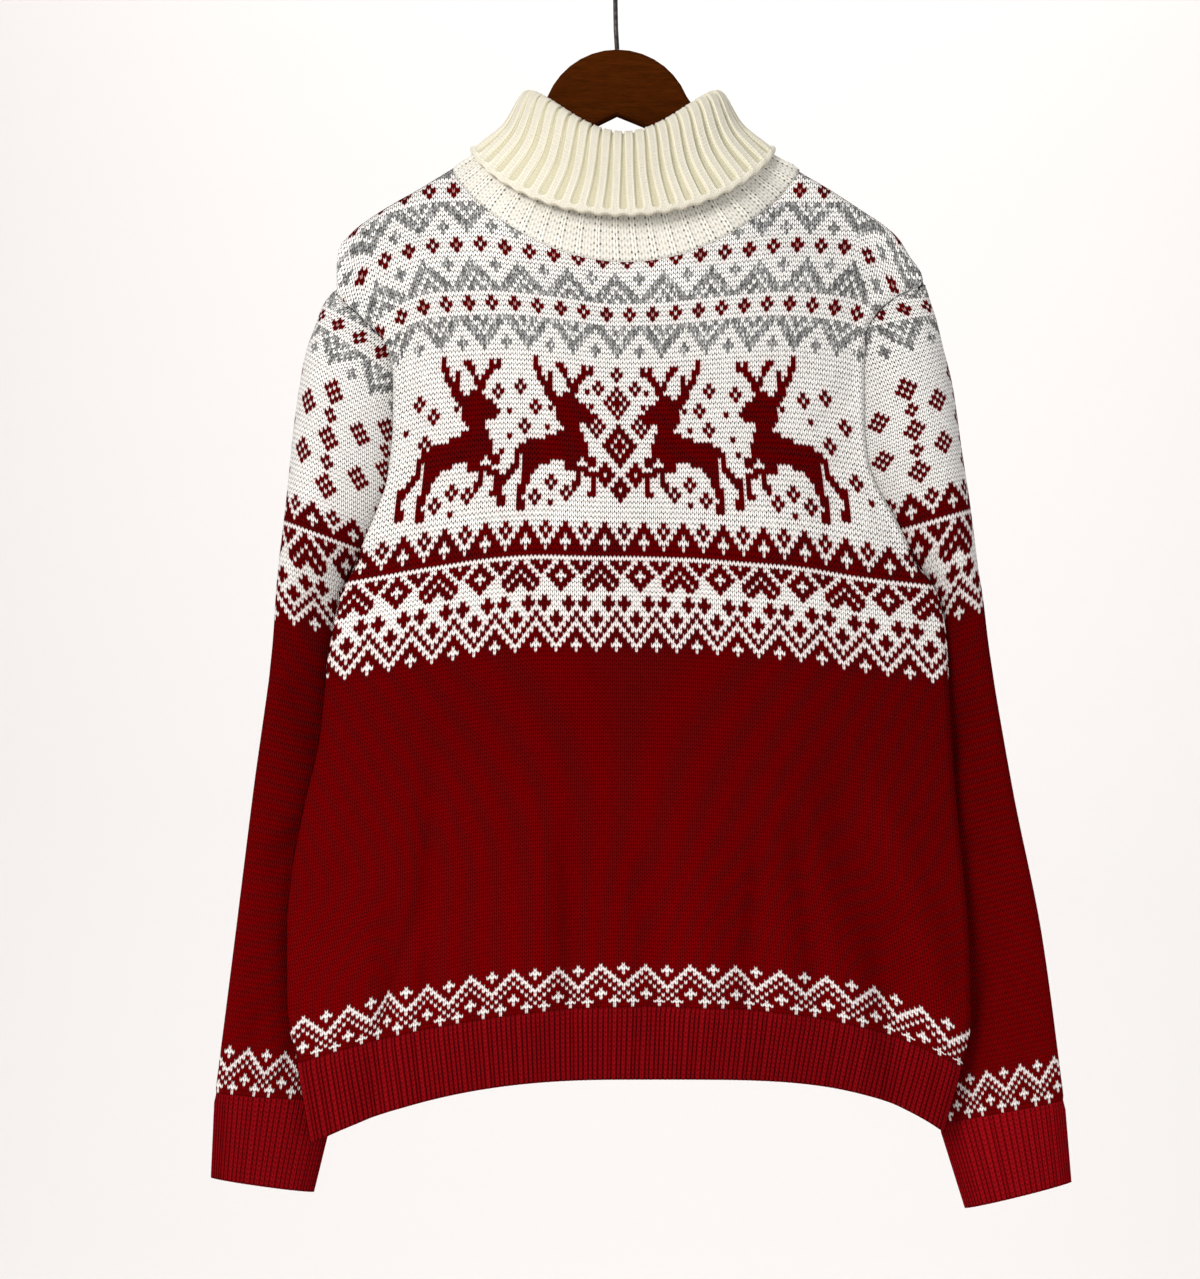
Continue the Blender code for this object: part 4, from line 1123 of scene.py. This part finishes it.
class Value:
    """A node's output in a formula: each operator adds the math node that works it out."""

    def __init__(self, nodes, socket):
        self.nodes, self.socket = nodes, socket

    def math(self, operation, other=0.0):
        return self.nodes.value("ShaderNodeMath", {0: self, 1: other}, operation=operation)

    def __rsub__(self, other):
        return self.nodes.value("ShaderNodeMath", {0: other, 1: self}, operation="SUBTRACT")

    __add__ = partialmethod(math, "ADD")
    __sub__ = partialmethod(math, "SUBTRACT")
    __mul__ = partialmethod(math, "MULTIPLY")
    __truediv__ = partialmethod(math, "DIVIDE")
    __pow__ = partialmethod(math, "POWER")

    def span(self, low, high, to_low=0.0, to_high=1.0):
        inputs = {"Value": self, "From Min": low, "From Max": high, "To Min": to_low, "To Max": to_high}
        return self.nodes.value("ShaderNodeMapRange", inputs)


class Nodes:
    """Shorthand for building one material's nodes."""

    def __init__(self, name, place="Object"):
        self.material = bpy.data.materials.new(name)
        self.material.use_nodes = True
        self.tree = self.material.node_tree
        self.shader = self.tree.nodes["Principled BSDF"]
        self.place = self.value("ShaderNodeTexCoord", output=place)

    def add(self, kind, inputs=(), **settings):
        node = self.tree.nodes.new(kind)
        for key, value in settings.items():
            setattr(node, key, value)
        for key, value in dict(inputs).items():
            if isinstance(value, Value):
                self.tree.links.new(value.socket, node.inputs[key])
            else:
                node.inputs[key].default_value = value
        return node

    def value(self, kind, inputs=(), output=0, **settings):
        return Value(self, self.add(kind, inputs, **settings).outputs[output])

    def split(self, vector):
        node = self.add("ShaderNodeSeparateXYZ", {0: vector})
        return [Value(self, output) for output in node.outputs]

    def noise(self, scale, detail, vector=None, **inputs):
        inputs = {"Scale": scale, "Detail": detail, "Vector": vector or self.place, **inputs}
        return self.value("ShaderNodeTexNoise", inputs, "Fac")

    def scaled(self, colour, factor):
        return self.value("ShaderNodeVectorMath", {0: colour, "Scale": factor}, operation="SCALE")

    def ramp(self, value, *stops):
        """A colour between two, each given with the value where it holds."""
        node = self.add("ShaderNodeValToRGB", {"Fac": value})
        for element, (position, colour) in zip(node.color_ramp.elements, stops):
            element.position, element.color = position, (*colour, 1)
        return Value(self, node.outputs[0])

    def finish(self, colour, bump, depth, **constants):
        normal = self.value("ShaderNodeBump", {"Height": bump, "Distance": depth, "Strength": 1.0})
        self.tree.links.new(colour.socket, self.shader.inputs["Base Color"])
        self.tree.links.new(normal.socket, self.shader.inputs["Normal"])
        for key, value in constants.items():
            self.shader.inputs[key.replace("_", " ")].default_value = value
        return self.material


def wool_material(name, gap=0.85, relief=0.0007):
    """Knitted wool: two slanting legs a stitch, holes where they part darkened with painted shade, and the noise of
    its fibres.

    gap is how dark the painted shade in the holes and along the legs' edges is. The red yarn laps over the edges of
    the stitches beside it.
    """
    n = Nodes(name)
    knit, laps = (n.add("ShaderNodeAttribute", attribute_name=title).outputs for title in ("knit", "laps"))
    open_share, grey = Value(n, knit["Alpha"]), Value(n, laps["Alpha"])
    beside, above, below = n.split(Value(n, laps["Color"]))
    across, up, _ = n.split(n.value("ShaderNodeUVMap", uv_map="Stitch"))
    legs = across * 2.0
    leg, run = ((a.math("FRACT") * 2.0 - 1.0).math("ABSOLUTE") for a in (legs, up))  # 0 in the middle of a leg
    hole = ((1.0 - (((1.0 - leg) / 0.95) ** 2.0 + ((1.0 - run) / 0.45) ** 2.0)).math("MAXIMUM", 0.0)) ** 0.8
    corner = n.value("ShaderNodeCombineXYZ", {0: legs.math("ROUND"), 1: up.math("ROUND")})
    chance = n.value("ShaderNodeTexWhiteNoise", {"Vector": corner}, noise_dimensions="2D")
    # painted shade: the holes between the legs and the legs' edges are darkened, more where the stitches are more
    # open
    dark = (hole * chance.span(0.0, 1.0, 0.35, 1.45) * open_share + leg**6.0 * 0.25) * gap
    fibre = n.noise(1400.0, 3.0)
    marl = n.noise(620.0, 2.0).span(0.32, 0.68, -0.34, 0.42) * grey
    tone = (1.0 - dark.math("MINIMUM", 0.92)) * fibre.span(0.25, 0.75, 0.90, 1.10)
    tone = tone * (marl + 1.0) * n.noise(18.0, 2.0).span(0.3, 0.7, 0.97, 1.03)
    reach = beside.math("MAXIMUM", above.math("MAXIMUM", below) - 0.30) + (fibre - 0.5) * 0.5
    yarns = {0: reach.span(0.38, 0.78), 6: Value(n, knit["Color"]), 7: (*LAP_RED, 1)}
    yarn = n.value("ShaderNodeMix", yarns, 2, data_type="RGBA")
    height = (1.0 - leg * leg) ** 0.6 - hole
    return n.finish(n.scaled(yarn, tone), height + fibre * 0.35, relief, Roughness=0.95, Specular_IOR_Level=0.01)


def wood_material():
    """Dark red-brown stained wood, matt, its grain along the arms."""
    n = Nodes("stained_wood")
    stretched = n.value("ShaderNodeMapping", {"Vector": n.place, "Scale": (1.0, 4.0, 9.0)})
    grain = n.noise(22.0, 6.0, stretched, Roughness=0.65, Distortion=1.4)
    pores = n.noise(160.0, 2.0, stretched)
    stain = n.ramp(grain, (0.30, (0.034, 0.0075, 0.0008)), (0.72, (0.068, 0.0145, 0.0016)))
    colour = n.scaled(stain, pores.span(0.3, 0.6, 0.75, 1.05))
    return n.finish(colour, grain * 0.4 + pores * 0.3, 0.0002, Roughness=0.55, Specular_IOR_Level=0.0)


def metal_material():
    """Black coated wire, a little rubbed."""
    n = Nodes("black_metal")
    rub = n.noise(260.0, 4.0)
    coat = n.ramp(rub, (0.45, (0.012, 0.012, 0.013)), (0.80, (0.07, 0.065, 0.06)))
    return n.finish(coat, rub, 0.00005, Roughness=0.38, Metallic=0.85)


def stage_material():
    """White paper, hardly mottled."""
    n = Nodes("backdrop", place="Generated")
    soft = n.noise(1.5, 1.0)
    paper = n.ramp(soft, (0.0, (0.866, 0.834, 0.812)), (1.0, (0.872, 0.840, 0.818)))
    return n.finish(paper, soft, 0.0001, Roughness=0.95)


# --- the object ---


def declare(obj, node, material):
    """The sheet's material and place in the model, in place of the hidden CAD part."""
    obj.data.materials.append(material)
    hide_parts(node)
    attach(obj, "root")


def knitted_pieces():
    patterned = wool_material("patterned_wool")
    red = wool_material("red_wool", gap=0.6)
    cream = wool_material("cream_wool", gap=0.55, relief=0.00025)
    body = panel_chart()
    for face, area in (("front", 0.245), ("back", 0.252)):
        declare(make_panel(face, body), face, patterned)
    for side, area in (("right", 0.085), ("left", 0.088)):
        declare(make_sleeve(side), "sleeve_" + side, patterned)
    for face in ("front", "back"):
        declare(make_hem(face), "hem_" + face, red)
    for side in ("right", "left"):
        declare(make_cuff(side), "cuff_" + side, red)
    declare(make_collar(), "collar", cream)


def wood_and_wire():
    for name, material, slot in (
        ("hanger", wood_material(), "stained_wood"),
        ("hook", metal_material(), "black_metal"),
    ):
        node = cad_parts[name]
        node.data.materials.clear()
        node.data.materials.append(material)
        node.data.shade_smooth()
        node.data.set_sharp_from_angle(angle=math.radians(35))


# --- stage, light and camera ---

CAMERA = (-0.0116, -2.5, -0.4809)
LENS = 103.5
FLOOR_Z, WALL_Y, BEND = -1.32, 4.2, 1.9


def make_stage():
    """A floor that bends up into a wall."""
    turns = np.linspace(0, math.pi / 2, 13)
    bend = [(WALL_Y - BEND + BEND * math.sin(a), FLOOR_Z + BEND - BEND * math.cos(a)) for a in turns]
    profile = [(-4.0, FLOOR_Z), *bend, (WALL_Y, 3.0)]
    points = [(x, y, z) for x in (-5.0, 5.0) for y, z in profile]
    count = len(profile)
    faces = [(i, i + 1, count + i + 1, count + i) for i in range(count - 1)]
    mesh = bpy.data.meshes.new("backdrop")
    mesh.from_pydata(points, [], faces)
    mesh.materials.append(stage_material())
    mesh.shade_smooth()
    obj = bpy.data.objects.new("backdrop", mesh)
    bpy.context.scene.collection.objects.link(obj)


LIGHTS = (  # name, place, what it is aimed at, size in metres, watts, colour
    ("key", (-1.5, -2.3, 0.9), (0, 0, -0.5), 1.3, 80, (1.0, 0.98, 0.96)),
    ("fill", (1.9, -2.2, -0.1), (0, 0, -0.5), 1.8, 15, (0.98, 0.99, 1.0)),
    ("rim", (0.3, 1.3, 1.1), (0, 0, -0.4), 1.4, 16, (1.0, 1.0, 1.0)),
    ("wall", (0.25, 2.5, 1.9), (0.15, 4.2, -0.6), 2.6, 43, (1.0, 1.0, 1.0)),
)
SKY, SKY_STRENGTH = (0.96, 0.97, 1.0, 1), 0.49


def aim(obj, at, target):
    obj.location = at
    obj.rotation_euler = (Vector(target) - Vector(at)).to_track_quat("-Z", "Y").to_euler()
    bpy.context.scene.collection.objects.link(obj)


def make_lights_and_camera():
    for name, at, target, size, watts, colour in LIGHTS:
        data = bpy.data.lights.new(name, "AREA")
        data.size, data.energy, data.color = size, watts, colour
        aim(bpy.data.objects.new(name, data), at, target)
    world = bpy.data.worlds.new("studio")
    world.use_nodes = True
    background = world.node_tree.nodes["Background"]
    background.inputs["Color"].default_value = SKY
    background.inputs["Strength"].default_value = SKY_STRENGTH
    bpy.context.scene.world = world
    data = bpy.data.cameras.new("camera")
    data.lens, data.sensor_width, data.sensor_fit = LENS, 36.0, "AUTO"
    camera = bpy.data.objects.new("camera", data)
    aim(camera, CAMERA, (CAMERA[0], 0.0, CAMERA[2]))
    bpy.context.scene.camera = camera
    bpy.context.scene.view_settings.view_transform = "Standard"


knitted_pieces()
wood_and_wire()
make_stage()
make_lights_and_camera()
